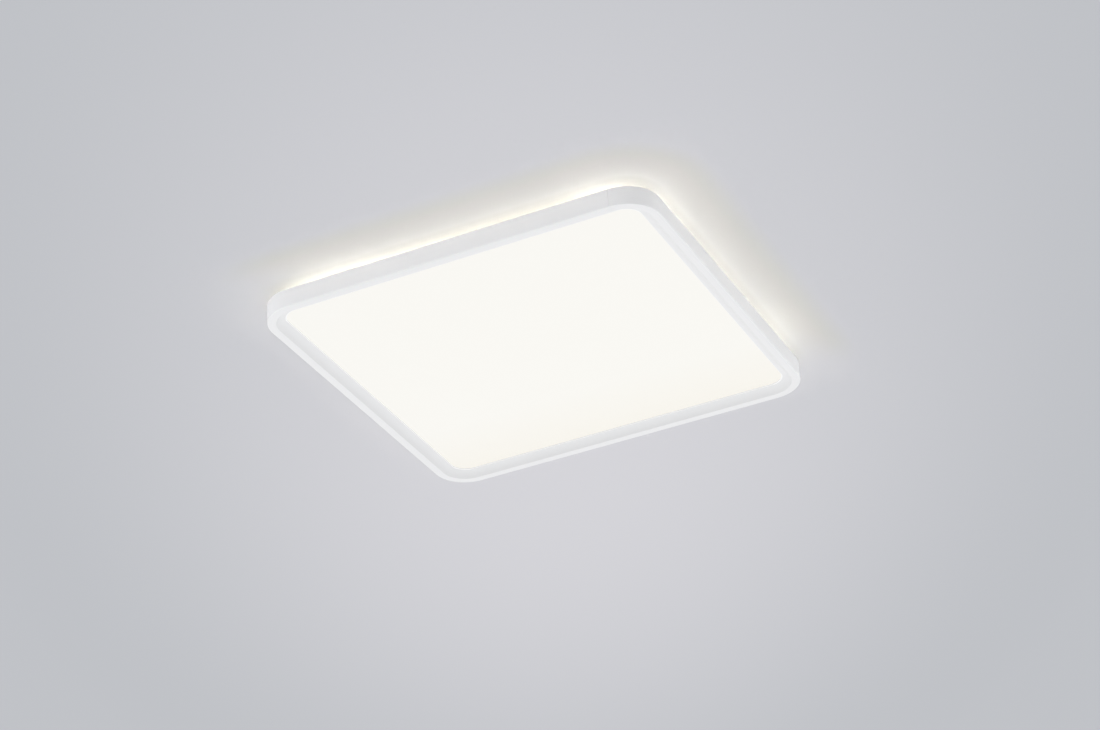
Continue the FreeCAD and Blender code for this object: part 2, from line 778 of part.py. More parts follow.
def make_bracket():
    body = new_body("ceiling_bracket")
    strip = sketch(body, "strip", offset="-bracket_sheet")
    rectangle(strip, "-bracket_half", "bracket_half", "-bracket_width / 2", "bracket_width / 2")
    pad(body, strip, "bracket_sheet")
    ribs = sketch(body, "ribs", offset="-bracket_rib")
    for side in (-1, 1):
        edges = [f"{side} * bracket_width / 2", f"{side} * (bracket_width / 2 - bracket_sheet)"]
        rectangle(ribs, "-bracket_half + bracket_rib_setback", "bracket_half - bracket_rib_setback",
                  *edges[::-side])
    pad(body, ribs, "bracket_rib - bracket_sheet")
    lips = sketch(body, "lips", offset="-bracket_lip_depth")
    for side in (-1, 1):
        edges = [f"{side} * bracket_half", f"{side} * (bracket_half - bracket_sheet)"]
        rectangle(lips, *edges[::-side], "-bracket_lip_width / 2", "bracket_lip_width / 2")
    pad(body, lips, "bracket_lip_depth - bracket_sheet")
    tab = sketch(body, "earth_tab", offset="-earth_tab_depth")
    rectangle(tab, "earth_tab_place - earth_tab_width / 2", "earth_tab_place + earth_tab_width / 2",
              "-bracket_width / 2", "-bracket_width / 2 + bracket_sheet")
    pad(body, tab, "earth_tab_depth - bracket_rib")
    holes = sketch(body, "holes")
    for side in (-1, 1):
        oblong(holes, f"{side} * slot_spacing / 2", "0", "slot_length", "slot_width")
    circles(holes, [("0", "0")], "cable_hole_radius")
    pocket(body, holes, "bracket_sheet")
    windows = sketch(body, "windows", "YZ_Plane", "bracket_half")
    rectangle(windows, "-window_width / 2", "window_width / 2",
              "-window_drop - window_height", "-window_drop")
    pocket(body, windows, "bracket_length")
    earth_hole = sketch(body, "earth_hole", "XZ_Plane", "bracket_width / 2")
    circles(earth_hole, [("earth_tab_place", "earth_z")], "earth_screw_radius")
    pocket(body, earth_hole, "bracket_sheet")


def make_earth_screw():
    """The screw and washer that clamp the fitter's earth wire to the bracket's tab."""
    face = "-bracket_width / 2"
    start = (f"{face} - earth_washer_thickness", "earth_z")
    washer = cylinder("washer_disc", "earth_tab_place", *start, "earth_washer_radius",
                      "earth_washer_thickness", tilt="y")
    hole = cylinder("washer_hole", "earth_tab_place", *start, "earth_screw_radius",
                    "earth_washer_thickness", tilt="y")
    cut("earth_washer", washer, hole)
    head = cylinder("earth_screw_head", "earth_tab_place",
                    f"{start[0]} - earth_screw_radius", "earth_z", "earth_screw_radius * 2",
                    "earth_screw_radius", tilt="y")
    shank = cylinder("earth_screw_shank", "earth_tab_place", *start,
                     "earth_screw_radius - fine_fit", "earth_screw_length", tilt="y")
    joined("earth_screw", [head, shank])


# ---------------------------------------------------------------- leaf springs

def rivet_places(sides=(1, -1)):
    return [(f"{side} * rivet_place", f"{across} * rivet_spacing / 2")
            for side in sides for across in (1, -1)]


def make_catch_springs():
    """Each spring's crest rests in the window of the bracket's lip and yields when it is pulled."""
    for label, side in (("right_catch_spring", 1), ("left_catch_spring", -1)):
        profile = [
            ("spring_root + spring_foot", "bay_z"),
            ("spring_root", "bay_z"),
            ("spring_root", "bay_z + spring_riser"),
            ("spring_crest", "crest_z"),
            ("spring_crest + spring_flare", "-spring_top_drop"),
            ("spring_crest + spring_flare + spring_sheet", "-spring_top_drop"),
            ("spring_crest + spring_sheet", "crest_z"),
            ("spring_root + spring_sheet", "bay_z + spring_riser"),
            ("spring_root + spring_sheet", "bay_z + spring_sheet"),
            ("spring_root + spring_foot", "bay_z + spring_sheet"),
        ]
        body = new_body(label)
        leaf = sketch(body, "leaf", "XZ_Plane", "-spring_width / 2")
        outline(leaf, [(f"{side} * ({x})", z) for x, z in profile][::-side])
        pad(body, leaf, "spring_width")
        holes = sketch(body, "holes", offset="bay_z + spring_sheet")
        circles(holes, rivet_places([side]), "rivet_radius")
        pocket(body, holes, "spring_sheet")
    fasteners("catch_rivets", rivet_places(), "bay_z + spring_sheet",
              "spring_sheet + plate_thickness", ("rivet_head_radius", "rivet_head_height"),
              "rivet_radius")


# ---------------------------------------------------------------- terminal box

def pole_places(y):
    return [(f"box_centre + {pole} * pole_pitch", y) for pole in (-1, 0, 1)]


def box_screw_places():
    return [(f"box_centre + {side} * (box_length / 2 - box_wall - screw_head_radius * 2)",
             "clamp_near + clamp_depth / 2") for side in (-1, 1)]


def clamp_screw_places():
    return [(f"box_centre + {side} * (clamp_span + clamp_post * 2) / 4",
             "clamp_near + clamp_depth / 2") for side in (-1, 1)]


def hinge_barrel(body, name, west, length, web):
    """A hinge barrel along X from its west end, with the web that ties it to its leaf."""
    barrel = sketch(body, name, "YZ_Plane", west)
    circles(barrel, [("hinge_y", "hinge_z")], "barrel_radius")
    pad(body, barrel, length)
    tie = sketch(body, f"{name}_web", "YZ_Plane", west)
    rectangle(tie, *web)
    pad(body, tie, length)


def bore_hinge(body, west, length, radius):
    bore = sketch(body, "hinge_bore", "YZ_Plane", west)
    circles(bore, [("hinge_y", "hinge_z")], radius)
    pocket(body, bore, length, forward=True)


def make_terminal_box():
    body = new_body("terminal_box")
    shell = sketch(body, "shell", offset="bay_z")
    rectangle(shell, "box_west", "box_east", "box_near", "box_far")
    pad(body, shell, "box_height")
    room = sketch(body, "room", offset="box_top")
    rectangle(room, "box_west + box_wall", "box_east - box_wall", "box_near + box_wall",
              "box_far - box_wall")
    pocket(body, room, "box_height - box_floor")
    web = ("box_far - box_wall / 2", "hinge_y", "hinge_z - barrel_radius", "hinge_z - pin_radius")
    for name, side in (("west_barrel", -1), ("east_barrel", 1)):
        middle = f"box_centre + {side} * (lid_barrel_length / 2 + moving_fit + box_barrel_length / 2)"
        hinge_barrel(body, name, f"{middle} - box_barrel_length / 2", "box_barrel_length", web)
    bore_hinge(body, "box_west", "box_length", "pin_radius")
    inlet = sketch(body, "inlet", "XZ_Plane", "-box_near")
    circles(inlet, [("box_centre", "grommet_z")], "grommet_neck")
    pocket(body, inlet, "box_wall")
    ways = sketch(body, "lead_holes", "YZ_Plane", "box_east")
    circles(ways, [(y, "lead_z") for y in ("live_y", "neutral_y", "earth_y")],
            "mains_lead / 2 + fine_fit")
    pocket(body, ways, "box_wall")
    holes = sketch(body, "screw_holes", offset="box_inside_z")
    circles(holes, box_screw_places() + clamp_screw_places(), "screw_radius")
    pocket(body, holes, "box_floor")
    fasteners("terminal_box_screws", box_screw_places(), "box_inside_z",
              "box_floor + plate_thickness")
    pin_length = "lid_barrel_length + (moving_fit + box_barrel_length) * 2"
    nodes["lid_hinge_pin"] = cylinder("lid_hinge_pin", f"box_centre - ({pin_length}) / 2", "hinge_y",
                                      "hinge_z", "pin_radius", pin_length, tilt="x")


def make_terminal_lid():
    body = sheet_piece("terminal_lid", "lid_z", "lid_thickness",
                       lambda face: rectangle(face, "box_west", "box_east", "box_near", "box_far"))
    tab_faces = ("box_near - moving_fit - lid_thickness", "box_near - moving_fit")
    for number, side in enumerate((-1, 1)):
        tab_sides = [f"box_centre + {side} * lid_tab_place + {end} * lid_tab_width / 2"
                     for end in (-1, 1)]
        tongue = sketch(body, f"tongue{number}", offset="lid_z")
        rectangle(tongue, *tab_sides, tab_faces[0], "box_near")
        pad(body, tongue, "lid_thickness")
        tab = sketch(body, f"tab{number}", offset="lid_z - lid_tab_length")
        rectangle(tab, *tab_sides, *tab_faces)
        pad(body, tab, "lid_tab_length")
    web = ("box_far - box_wall", "hinge_y", "lid_z", "lid_z + lid_thickness")
    hinge_barrel(body, "barrel", "box_centre - lid_barrel_length / 2", "lid_barrel_length", web)
    bore_hinge(body, "box_centre - lid_barrel_length / 2", "lid_barrel_length",
               "pin_radius + fine_fit")


def make_terminal_block():
    body = new_body("terminal_block")
    face = sketch(body, "face", offset="box_inside_z")
    rectangle(face, "box_centre - block_length / 2", "box_centre + block_length / 2",
              "block_near", "block_far")
    pad(body, face, "block_height")
    middle = "(block_near + block_far) / 2"
    wells = sketch(body, "wells", offset="block_top")
    for x, y in pole_places(middle):
        rectangle(wells, f"{x} - button_length / 2 - moving_fit", f"{x} + button_length / 2 + moving_fit",
                  f"{y} - button_width / 2 - moving_fit", f"{y} + button_width / 2 + moving_fit")
    pocket(body, wells, "button_well")
    mains = sketch(body, "mains_entries", "XZ_Plane", "-block_near")
    circles(mains, pole_places("entry_z"), "entry_radius")
    pocket(body, mains, "entry_depth")
    lamp = sketch(body, "lamp_entries", "XZ_Plane", "-block_far")
    circles(lamp, pole_places("entry_z"), "mains_lead / 2 + fine_fit")
    pocket(body, lamp, "entry_depth", forward=True)
    clamps = []
    for label, (x, y) in zip(("live", "neutral", "earth"), pole_places(middle)):
        sides = ((f"{x} - button_length / 2", f"{x} + button_length / 2"),
                 (f"{y} - button_width / 2", f"{y} + button_width / 2"))
        nodes[f"{label}_button"] = block(f"{label}_button", *sides,
                                         ("button_top - button_height", "button_top"))
        floor = "block_top - button_well"
        clamps.append(block(f"{label}_clamp", *sides, (floor, f"{floor} + clamp_sheet")))
    group("terminal_clamps", clamps)


def make_cable_inlet():
    """The rubber grommet in the box's near wall, and the bar that holds the mains cable behind it."""
    inside = "box_near + box_wall"
    neck = cylinder("grommet_neck_piece", "box_centre", "box_near", "grommet_z", "grommet_neck",
                    "box_wall", tilt="y")
    outer = cylinder("grommet_outer", "box_centre", "box_near - grommet_lip", "grommet_z",
                     "grommet_flange", "grommet_lip", tilt="y")
    inner = cylinder("grommet_inner", "box_centre", inside, "grommet_z", "grommet_flange",
                     "grommet_lip", tilt="y")
    bore = cylinder("grommet_bore_piece", "box_centre", "box_near - grommet_lip", "grommet_z",
                    "grommet_bore", "box_wall + grommet_lip * 2", tilt="y")
    whole = doc.addObject("Part::MultiFuse", "grommet_solid")
    whole.Shapes = [neck, outer, inner]
    cut("cable_grommet", whole, bore)
    body = new_body("cable_clamp")
    arch = sketch(body, "arch", "XZ_Plane", "-clamp_near")
    side, post = "clamp_span / 2", "(clamp_span / 2 - clamp_post)"
    corners = [(f"-{side}", "box_inside_z"), (f"-{post}", "box_inside_z"),
               (f"-{post}", "clamp_top - clamp_bar"), (post, "clamp_top - clamp_bar"),
               (post, "box_inside_z"), (side, "box_inside_z"),
               (side, "clamp_top"), (f"-{side}", "clamp_top")]
    outline(arch, [(f"box_centre + ({x})", z) for x, z in corners])
    pad(body, arch, "clamp_depth", down=True)
    holes = sketch(body, "holes", offset="clamp_top")
    circles(holes, clamp_screw_places(), "screw_radius")
    pocket(body, holes, "clamp_height")
    fasteners("clamp_screws", clamp_screw_places(), "clamp_top", "clamp_height + box_floor")


# ---------------------------------------------------------------- driver

def driver_screw_places():
    return [("driver_west - driver_ear / 2", "driver_middle"),
            ("driver_east + driver_ear / 2", "driver_middle")]


def make_driver():
    body = new_body("driver_case")
    shell = sketch(body, "shell", offset="bay_z")
    rectangle(shell, "driver_west", "driver_east", "driver_near", "driver_far")
    pad(body, shell, "driver_height - driver_cover")
    ears = sketch(body, "ears", offset="bay_z")
    for side in (("driver_west - driver_ear", "driver_west + driver_wall"),
                 ("driver_east - driver_wall", "driver_east + driver_ear")):
        rectangle(ears, *side, "driver_middle - driver_ear_width / 2",
                  "driver_middle + driver_ear_width / 2")
    pad(body, ears, "driver_floor")
    room = sketch(body, "room", offset="driver_top - driver_cover")
    rectangle(room, "driver_west + driver_wall", "driver_east - driver_wall",
              "driver_near + driver_wall", "driver_far - driver_wall")
    pocket(body, room, "driver_height - driver_cover - driver_floor")
    posts = sketch(body, "posts", offset="bay_z + driver_floor")
    inset = "driver_wall + board_gap + standoff_radius"
    circles(posts, [(x, y) for x in (f"driver_west + {inset}", f"driver_east - ({inset})")
                    for y in (f"driver_near + {inset}", f"driver_far - ({inset})")],
            "standoff_radius")
    pad(body, posts, "board_rise")
    holes = sketch(body, "holes", offset="bay_z + driver_floor")
    circles(holes, driver_screw_places(), "screw_radius")
    pocket(body, holes, "driver_floor")
    west = sketch(body, "mains_holes", "YZ_Plane", "driver_west")
    circles(west, [("live_y", "lead_z"), ("neutral_y", "lead_z")], "mains_lead / 2 + fine_fit")
    pocket(body, west, "driver_wall", forward=True)
    east = sketch(body, "panel_holes", "YZ_Plane", "driver_east")
    circles(east, [(y, "lead_z") for y in ("red_y", "black_y", "back_red_y", "back_black_y")],
            "panel_lead / 2 + fine_fit")
    pocket(body, east, "driver_wall")
    nodes["driver_cover"] = block("driver_cover", ("driver_west", "driver_east"),
                                  ("driver_near", "driver_far"),
                                  ("driver_top - driver_cover", "driver_top"))
    inset = "driver_wall + board_gap"
    nodes["driver_board"] = block("driver_board",
                                  (f"driver_west + {inset}", f"driver_east - ({inset})"),
                                  (f"driver_near + {inset}", f"driver_far - ({inset})"),
                                  ("board_z", "parts_z"))
    middle = "(driver_west + driver_length / 2)"
    nodes["driver_transformer"] = block(
        "driver_transformer",
        (f"{middle} - transformer_length / 2", f"{middle} + transformer_length / 2"),
        ("driver_middle - transformer_width / 2", "driver_middle + transformer_width / 2"),
        ("parts_z", "parts_z + transformer_height"))
    start = f"{middle} - transformer_length / 2 - capacitor_length * 3 / 2"
    group("driver_capacitors",
          [cylinder(f"capacitor{number}", start, f"driver_middle + {number} * capacitor_radius * 3",
                    "parts_z + capacitor_radius", "capacitor_radius", "capacitor_length", tilt="x")
           for number in (-1, 0, 1)])
    choke_x = f"{middle} + transformer_length / 2 + choke_radius * 2"
    core = cylinder("choke_core", choke_x, "driver_middle", "parts_z", "choke_radius", "choke_height")
    hole = cylinder("choke_hole", choke_x, "driver_middle", "parts_z", "choke_bore", "choke_height")
    cut("driver_choke", core, hole)
    fasteners("driver_screws", driver_screw_places(), "bay_z + driver_floor",
              "driver_floor + plate_thickness")


# ---------------------------------------------------------------- leads and what holds them

def make_earth_terminal():
    at = ("earth_stud_x", "earth_stud_place")
    nodes["earth_stud"] = cylinder("earth_stud", *at, "plate_z",
                                   "earth_stud_radius - fine_fit", "plate_thickness + earth_stud_height")
    disc = cylinder("ring_disc", *at, "bay_z", "ring_radius", "ring_thickness")
    tongue = block("ring_tongue", ("earth_stud_x - ring_barrel_radius", "earth_stud_x + ring_barrel_radius"),
                   ("earth_stud_place", "earth_stud_place + ring_reach + ring_barrel_length"),
                   ("bay_z", "bay_z + ring_thickness"))
    barrel = cylinder("ring_barrel", "earth_stud_x", "earth_stud_place + ring_reach",
                      "ring_axis_z", "ring_barrel_radius", "ring_barrel_length", tilt="y")
    whole = doc.addObject("Part::MultiFuse", "ring_solid")
    whole.Shapes = [disc, tongue, barrel]
    stud_hole = cylinder("ring_stud_hole", *at, "bay_z", "earth_stud_radius", "ring_thickness")
    lead_hole = cylinder("ring_lead_hole", "earth_stud_x", "earth_stud_place + ring_reach",
                         "ring_axis_z", "mains_lead / 2 + fine_fit", "ring_barrel_length", tilt="y")
    holes = doc.addObject("Part::MultiFuse", "ring_holes")
    holes.Shapes = [stud_hole, lead_hole]
    cut("earth_ring", whole, holes)
    prism = doc.addObject("Part::Prism", "nut_prism")
    prism.Polygon = 6
    prism.setExpression("Circumradius", bound("nut_width / 2 / cos(30 * 1deg)"))
    prism.setExpression("Height", bound("nut_height"))
    for base, where in (("x", at[0]), ("y", at[1]), ("z", "bay_z + ring_thickness")):
        prism.setExpression(f"Placement.Base.{base}", bound(where))
    thread = cylinder("nut_thread", *at, "bay_z + ring_thickness", "earth_stud_radius", "nut_height")
    cut("earth_nut", prism, thread)


def make_leads():
    inside_block = "block_far - entry_depth + fine_fit"
    live_x, neutral_x, earth_x = [x for x, y in pole_places("0")]
    soldered = "driver_west + driver_wall + board_gap * 3"
    for label, x, y in (("live_lead", live_x, "live_y"), ("neutral_lead", neutral_x, "neutral_y")):
        leads(label, [[(x, inside_block, "lead_z"), (x, y, "lead_z"), (soldered, y, "lead_z"),
                       (soldered, y, "parts_z")]], "mains_lead")
    leads("earth_lead", [[
        (earth_x, inside_block, "lead_z"),
        (earth_x, "earth_y", "lead_z"),
        ("earth_stud_x", "earth_y", "lead_z"),
        ("earth_stud_x", "earth_stud_place + ring_reach + ring_barrel_length * 2", "ring_axis_z"),
        ("earth_stud_x", "earth_stud_place + ring_reach + ring_barrel_length / 2", "ring_axis_z"),
    ]], "mains_lead")
    board_end = "driver_east - driver_wall - board_gap * 3"

    def through_the_slot(y):
        return [(board_end, y, "parts_z"), (board_end, y, "lead_z"),
                ("driver_east + lead_bend", y, "lead_z"),
                ("lead_slot_place - lead_slot_length / 2", y, "over_z"),
                ("lead_slot_place - lead_slot_length / 4", y, "over_z"),
                ("lead_slot_place + lead_slot_length / 4", y, "under_z")]

    red = through_the_slot("red_y") + [("strip_end_x", "red_y", "under_z")]
    black = through_the_slot("black_y") + [
        ("lead_far_x", "black_y", "under_z"),
        ("lead_far_x", "lead_lane", "under_z"),
        ("-lead_far_x", "lead_lane", "under_z"),
        ("-lead_far_x", "black_y", "under_z"),
        ("-strip_end_x", "black_y", "under_z"),
    ]
    for label, panel, y in (("red_leads", red, "back_red_y"), ("black_leads", black, "back_black_y")):
        backlight = [(board_end, y, "parts_z"), (board_end, y, "lead_z"), ("pan_half", y, "lead_z")]
        leads(label, [panel, backlight], "panel_lead")
    leads("strip_jumper", [[("strip_end_x", "-lead_lane", "under_z"),
                            ("-strip_end_x", "-lead_lane", "under_z")]], "panel_lead")


def make_lead_holders():
    body = new_body("lead_grommet")
    ring = sketch(body, "ring", offset="plate_z")
    oblong(ring, "lead_slot_place", "lead_slot_y", "lead_slot_length", "lead_slot_width")
    pad(body, ring, "plate_thickness + grommet_rise")
    way = sketch(body, "way", offset="bay_z + grommet_rise")
    oblong(way, "lead_slot_place", "lead_slot_y", "lead_slot_length - grommet_rim * 2",
           "lead_slot_width - grommet_rim * 2")
    pocket(body, way, "plate_thickness + grommet_rise")
    start = "(driver_east + pan_half - lead_clip_length) / 2"
    middle = "(back_red_y + back_black_y) / 2"
    base = block("clip_base", (start, f"{start} + lead_clip_length"),
                 (f"{middle} - lead_clip_width / 2", f"{middle} + lead_clip_width / 2"),
                 ("bay_z", "lead_z + panel_lead / 2 + lead_clip_wall"))
    ways = doc.addObject("Part::MultiFuse", "clip_ways")
    ways.Shapes = [cylinder(f"clip_way{number}", start, y, "lead_z", "panel_lead / 2 + fine_fit",
                            "lead_clip_length", tilt="x")
                   for number, y in enumerate(("back_red_y", "back_black_y"))]
    cut("lead_clip", base, ways)


# ---------------------------------------------------------------- build, check and write

make_frame()
make_seam_plate()
make_light_stack()
make_back_plate()
make_rear_pan()
make_backlight()
make_bracket()
make_earth_screw()
make_catch_springs()
make_terminal_box()
make_terminal_lid()
make_terminal_block()
make_cable_inlet()
make_driver()
make_earth_terminal()
make_leads()
make_lead_holders()
doc.recompute()

for made in doc.Objects:
    if "Invalid" in made.State or "Error" in made.State:
        raise ValueError(f"{made.Label} failed to build: {made.State}")
    if made.TypeId == "PartDesign::Pocket" and made.Shape.Volume >= made.BaseFeature.Shape.Volume:
        raise ValueError(f"{made.Label} cuts nothing")
for label, made in nodes.items():
    if made.Shape.isNull() or not made.Shape.isValid() or not made.Shape.Solids:
        raise ValueError(f"{label} has no sound solid")

os.makedirs("parts", exist_ok=True)
for label, made in nodes.items():
    made.Label = label
    made.Shape.exportStep(f"parts/{label}.step")
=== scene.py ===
"""Looks of the flush mount ceiling light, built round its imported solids. Sizes are in millimetres
inside the helpers and turned into metres where a mesh is made."""

import json
import math
import random

import bpy
import bmesh
from mathutils import Matrix, Vector


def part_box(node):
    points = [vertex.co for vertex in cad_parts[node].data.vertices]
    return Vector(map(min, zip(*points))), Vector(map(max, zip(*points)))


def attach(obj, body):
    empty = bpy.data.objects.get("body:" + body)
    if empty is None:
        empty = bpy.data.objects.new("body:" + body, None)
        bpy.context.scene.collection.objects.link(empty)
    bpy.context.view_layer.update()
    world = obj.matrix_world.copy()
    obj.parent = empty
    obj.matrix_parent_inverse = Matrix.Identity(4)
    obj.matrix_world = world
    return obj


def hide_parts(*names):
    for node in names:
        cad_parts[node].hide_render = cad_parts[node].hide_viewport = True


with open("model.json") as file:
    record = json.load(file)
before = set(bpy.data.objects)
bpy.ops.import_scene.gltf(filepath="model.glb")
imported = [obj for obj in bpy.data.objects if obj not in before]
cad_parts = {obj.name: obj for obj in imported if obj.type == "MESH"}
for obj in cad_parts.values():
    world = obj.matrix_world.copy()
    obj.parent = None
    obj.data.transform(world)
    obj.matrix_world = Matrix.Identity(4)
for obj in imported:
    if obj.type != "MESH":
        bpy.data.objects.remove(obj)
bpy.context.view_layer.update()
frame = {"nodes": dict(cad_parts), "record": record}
MM = 0.001


def added(name, data):
    """A new object in the scene."""
    made = bpy.data.objects.new(name, data)
    bpy.context.scene.collection.objects.link(made)
    return made


# ---- camera, stage and light

# the camera's place in metres, its turn in degrees, and its lens and film in millimetres
VIEW_POINT = (1.0494, -2.32646, -1.52408)
VIEW_TURN = (120.184209, 3.073291, 25.871444)
VIEW_LENS = 96.146
FILM_WIDTH = 36.0


def make_camera():
    data = bpy.data.cameras.new("camera")
    data.lens = VIEW_LENS
    data.sensor_width = FILM_WIDTH
    data.clip_end = 60.0
    camera = added("camera", data)
    camera.location = VIEW_POINT
    camera.rotation_euler = [math.radians(a) for a in VIEW_TURN]
    bpy.context.scene.camera = camera


class Graph:
    """A node tree with short calls for what the finishes use."""

    def __init__(self, owner):
        owner.use_nodes = True
        self.tree = owner.node_tree
        self.tree.nodes.clear()

    def node(self, kind, inputs=(), **settings):
        made = self.tree.nodes.new("ShaderNode" + kind)
        for name, setting in settings.items():
            setattr(made, name, setting)
        for name, given in dict(inputs).items():
            self.put(made.inputs[name], given)
        return made

    def put(self, socket, given):
        if isinstance(given, bpy.types.NodeSocket):
            self.tree.links.new(given, socket)
        elif isinstance(given, bpy.types.Node):
            self.tree.links.new(given.outputs[0], socket)
        else:
            socket.default_value = given

    def maths(self, operation, a, b=0.0, c=0.0):
        return self.node("Math", {0: a, 1: b, 2: c}, operation=operation).outputs[0]

    def vector(self, operation, a, b=(0.0, 0.0, 0.0)):
        return self.node("VectorMath", {0: a, 1: b}, operation=operation)

    def axes(self, place):
        return self.node("SeparateXYZ", {0: place}).outputs

    def furthest(self, place):
        """The larger of a place's distances from the lamp's two middle planes."""
        x, y, z = self.axes(self.vector("ABSOLUTE", place))
        return self.maths("MAXIMUM", x, y)

    def spread(self, value, span, ends=(0.0, 1.0), smooth=True):
        """Goes from the first of ends to the second while value crosses span."""
        return self.node("MapRange", {0: value, 1: span[0], 2: span[1], 3: ends[0], 4: ends[1]},
                         interpolation_type="SMOOTHSTEP" if smooth else "LINEAR").outputs[0]

    def ramp(self, value, stops):
        """A colour for each value, from (place, colour) stops."""
        made = self.node("ValToRGB", {0: value})
        line = made.color_ramp.elements
        while len(line) < len(stops):
            line.new(0.5)
        for point, (place, colour) in zip(line, stops):
            point.position = place
            point.color = rgba(colour)
        return made.outputs[0]

    def blend(self, share, first, second, kind="MIX"):
        made = self.node("Mix", data_type="RGBA", blend_type=kind)
        self.put(made.inputs[0], share)
        self.put(made.inputs[6], first)
        self.put(made.inputs[7], second)
        return made.outputs[2]


def rgba(colour):
    return (*colour, 1.0)


# The ceiling, in metres: POOL is a painted pool of light, a paler oval in its paint. The ramp below it is
# painted shade with the backlight's warm tint along the lamp, at shares of its span of distance from a
# square inside the lamp's outline.
CEILING_MIDDLE = (0.698, 0.692, 0.723)
CEILING_EDGE = (0.549, 0.56, 0.588)
CEILING_REACH = 9.0
CEILING_GAP = 0.0002
BACKGROUND = (0.6, 0.6, 0.63)
OPEN_HALF = 0.1845
POOL_MIDDLE = (-0.078, 0.198, 0.0)
POOL_AXES = ((1.481, 0.6647, 0.0), (-0.3255, 0.7252, 0.0))
POOL_END = 1.2
POOL_BEND = 0.474
HALO_SHADE_SQUARE = (0.173, 0.173, 1.0)
HALO_SHADE_SPAN = (0.037, 0.097)
HALO_SHADE_SIDES = (0.0, 0.1)
# painted shade with the backlight's warm tint: darker and yellower from the lamp's wall out to about 60 mm
HALO_SHADE = ((0.0, (0.9, 0.9, 0.9)), (0.08, (0.99, 0.99, 0.975)), (0.28, (0.99, 0.98, 0.935)),
        (0.5, (0.975, 0.96, 0.905)), (0.63, (0.96, 0.96, 0.895)), (0.75, (0.965, 0.965, 0.915)),
        (1.0, (1.0, 1.0, 1.0)))


def ceiling_colour(graph, position):
    """The paint carries painted light: a paler oval round the lamp is a painted pool of light, and a
    faintly brown, darker band along its two near sides is painted shade with the backlight's warm tint.
    """
    # painted pool of light: the paint is paler in an oval round the lamp and darker towards its edge
    arm = graph.vector("SUBTRACT", position, POOL_MIDDLE)
    parts = [graph.vector("DOT_PRODUCT", arm, axis).outputs[1] for axis in POOL_AXES]
    square = graph.maths("ADD", *[graph.maths("MULTIPLY", part, part) for part in parts])
    square = graph.maths("MINIMUM", square, POOL_END)
    fall = graph.maths("MULTIPLY", square, graph.maths("MULTIPLY_ADD", square, -POOL_BEND, 1.0))
    share = graph.maths("DIVIDE", fall, 1.0 - POOL_BEND)
    paint = graph.blend(share, rgba(CEILING_MIDDLE), rgba(CEILING_EDGE))
    # painted shade with the glow's warm tint, along the lamp's two near sides
    beyond = graph.vector("SUBTRACT", graph.vector("ABSOLUTE", position), HALO_SHADE_SQUARE)
    gap = graph.vector("LENGTH", graph.vector("MAXIMUM", beyond)).outputs[1]
    ring = graph.ramp(graph.spread(gap, HALO_SHADE_SPAN, smooth=False), HALO_SHADE)
    x, y, z = graph.axes(position)
    near = graph.spread(graph.maths("SUBTRACT", x, y), HALO_SHADE_SIDES)
    return graph.blend(near, paint, ring, "MULTIPLY")


def make_stage():
    """The ceiling is seen from the room only, and is open over the lamp's bay for the light above it."""
    mesh = bpy.data.meshes.new("ceiling")
    signs = ((-1, -1), (-1, 1), (1, 1), (1, -1))
    mesh.from_pydata([(CEILING_REACH * s, CEILING_REACH * t, 0) for s, t in signs], [], [(0, 1, 2, 3)])
    ceiling = added("ceiling", mesh)
    ceiling.location.z = CEILING_GAP
    material = bpy.data.materials.new("ceiling_paint")
    graph = Graph(material)
    geometry = graph.node("NewGeometry").outputs
    seen = graph.node("LightPath").outputs["Is Camera Ray"]
    outside = graph.maths("GREATER_THAN", graph.furthest(geometry["Position"]), OPEN_HALF)
    front = graph.maths("SUBTRACT", 1.0, geometry["Backfacing"])
    share = graph.maths("MULTIPLY", graph.maths("MAXIMUM", outside, seen), front)
    paint = graph.node("BsdfDiffuse", {"Color": ceiling_colour(graph, geometry["Position"])})
    mixed = graph.node("MixShader", {0: share, 1: graph.node("BsdfTransparent"), 2: paint})
    graph.node("OutputMaterial", {"Surface": mixed})
    mesh.materials.append(material)


DOME_LEVEL = 0.965
DOME_LEAN = (-0.12, 0.16, 0.0)
SKY_LEVEL = 0.52
HORIZON = (-0.02, 0.06)
DOME_TINT = (0.995, 1.0, 1.005)


def make_world():
    """A dome that leans to one side and dims above the ceiling, behind a plain backdrop."""
    world = bpy.data.worlds.new("studio")
    bpy.context.scene.world = world
    graph = Graph(world)
    rays = graph.node("LightPath").outputs
    ray = graph.node("TexCoord").outputs["Generated"]
    side = graph.vector("DOT_PRODUCT", ray, DOME_LEAN).outputs[1]
    x, y, height = graph.axes(ray)
    level = graph.maths("ADD", side, graph.spread(height, HORIZON, (DOME_LEVEL, SKY_LEVEL)))
    light = graph.node("VectorMath", {0: DOME_TINT, "Scale": level}, operation="SCALE")
    mirrored = graph.maths("MAXIMUM", rays["Is Glossy Ray"], rays["Is Transmission Ray"])
    plain = graph.maths("MAXIMUM", rays["Is Camera Ray"], mirrored)
    background = graph.node("Background", {"Color": graph.blend(plain, light, rgba(BACKGROUND))})
    graph.node("OutputWorld", {"Surface": background})


# place and size in metres, and power in watts
SOFTBOX = ((-1.1, -0.9, 1.9), 1.2, 22.0)
LOW_STRIPS = {"left_strip": ((-1.065, -1.375, -0.015), 1.4, 4.1),
              "right_strip": ((1.375, 1.065, -0.015), 1.4, 4.3)}
STRIP_HEIGHT = 0.024


def area_light(name, place, size, power, height=None):
    data = bpy.data.lights.new(name, "AREA")
    data.energy = power
    data.size = size
    if height:
        data.shape = "RECTANGLE"
        data.size_y = height
    else:
        data.shape = "DISK"
    lamp = added(name, data)
    lamp.location = place
    aim = Vector((0.0, 0.0, place[2] if height else 0.0))
    lamp.rotation_euler = (Vector(place) - aim).to_track_quat("Z", "Y").to_euler()
    lamp.visible_camera = False
    return lamp


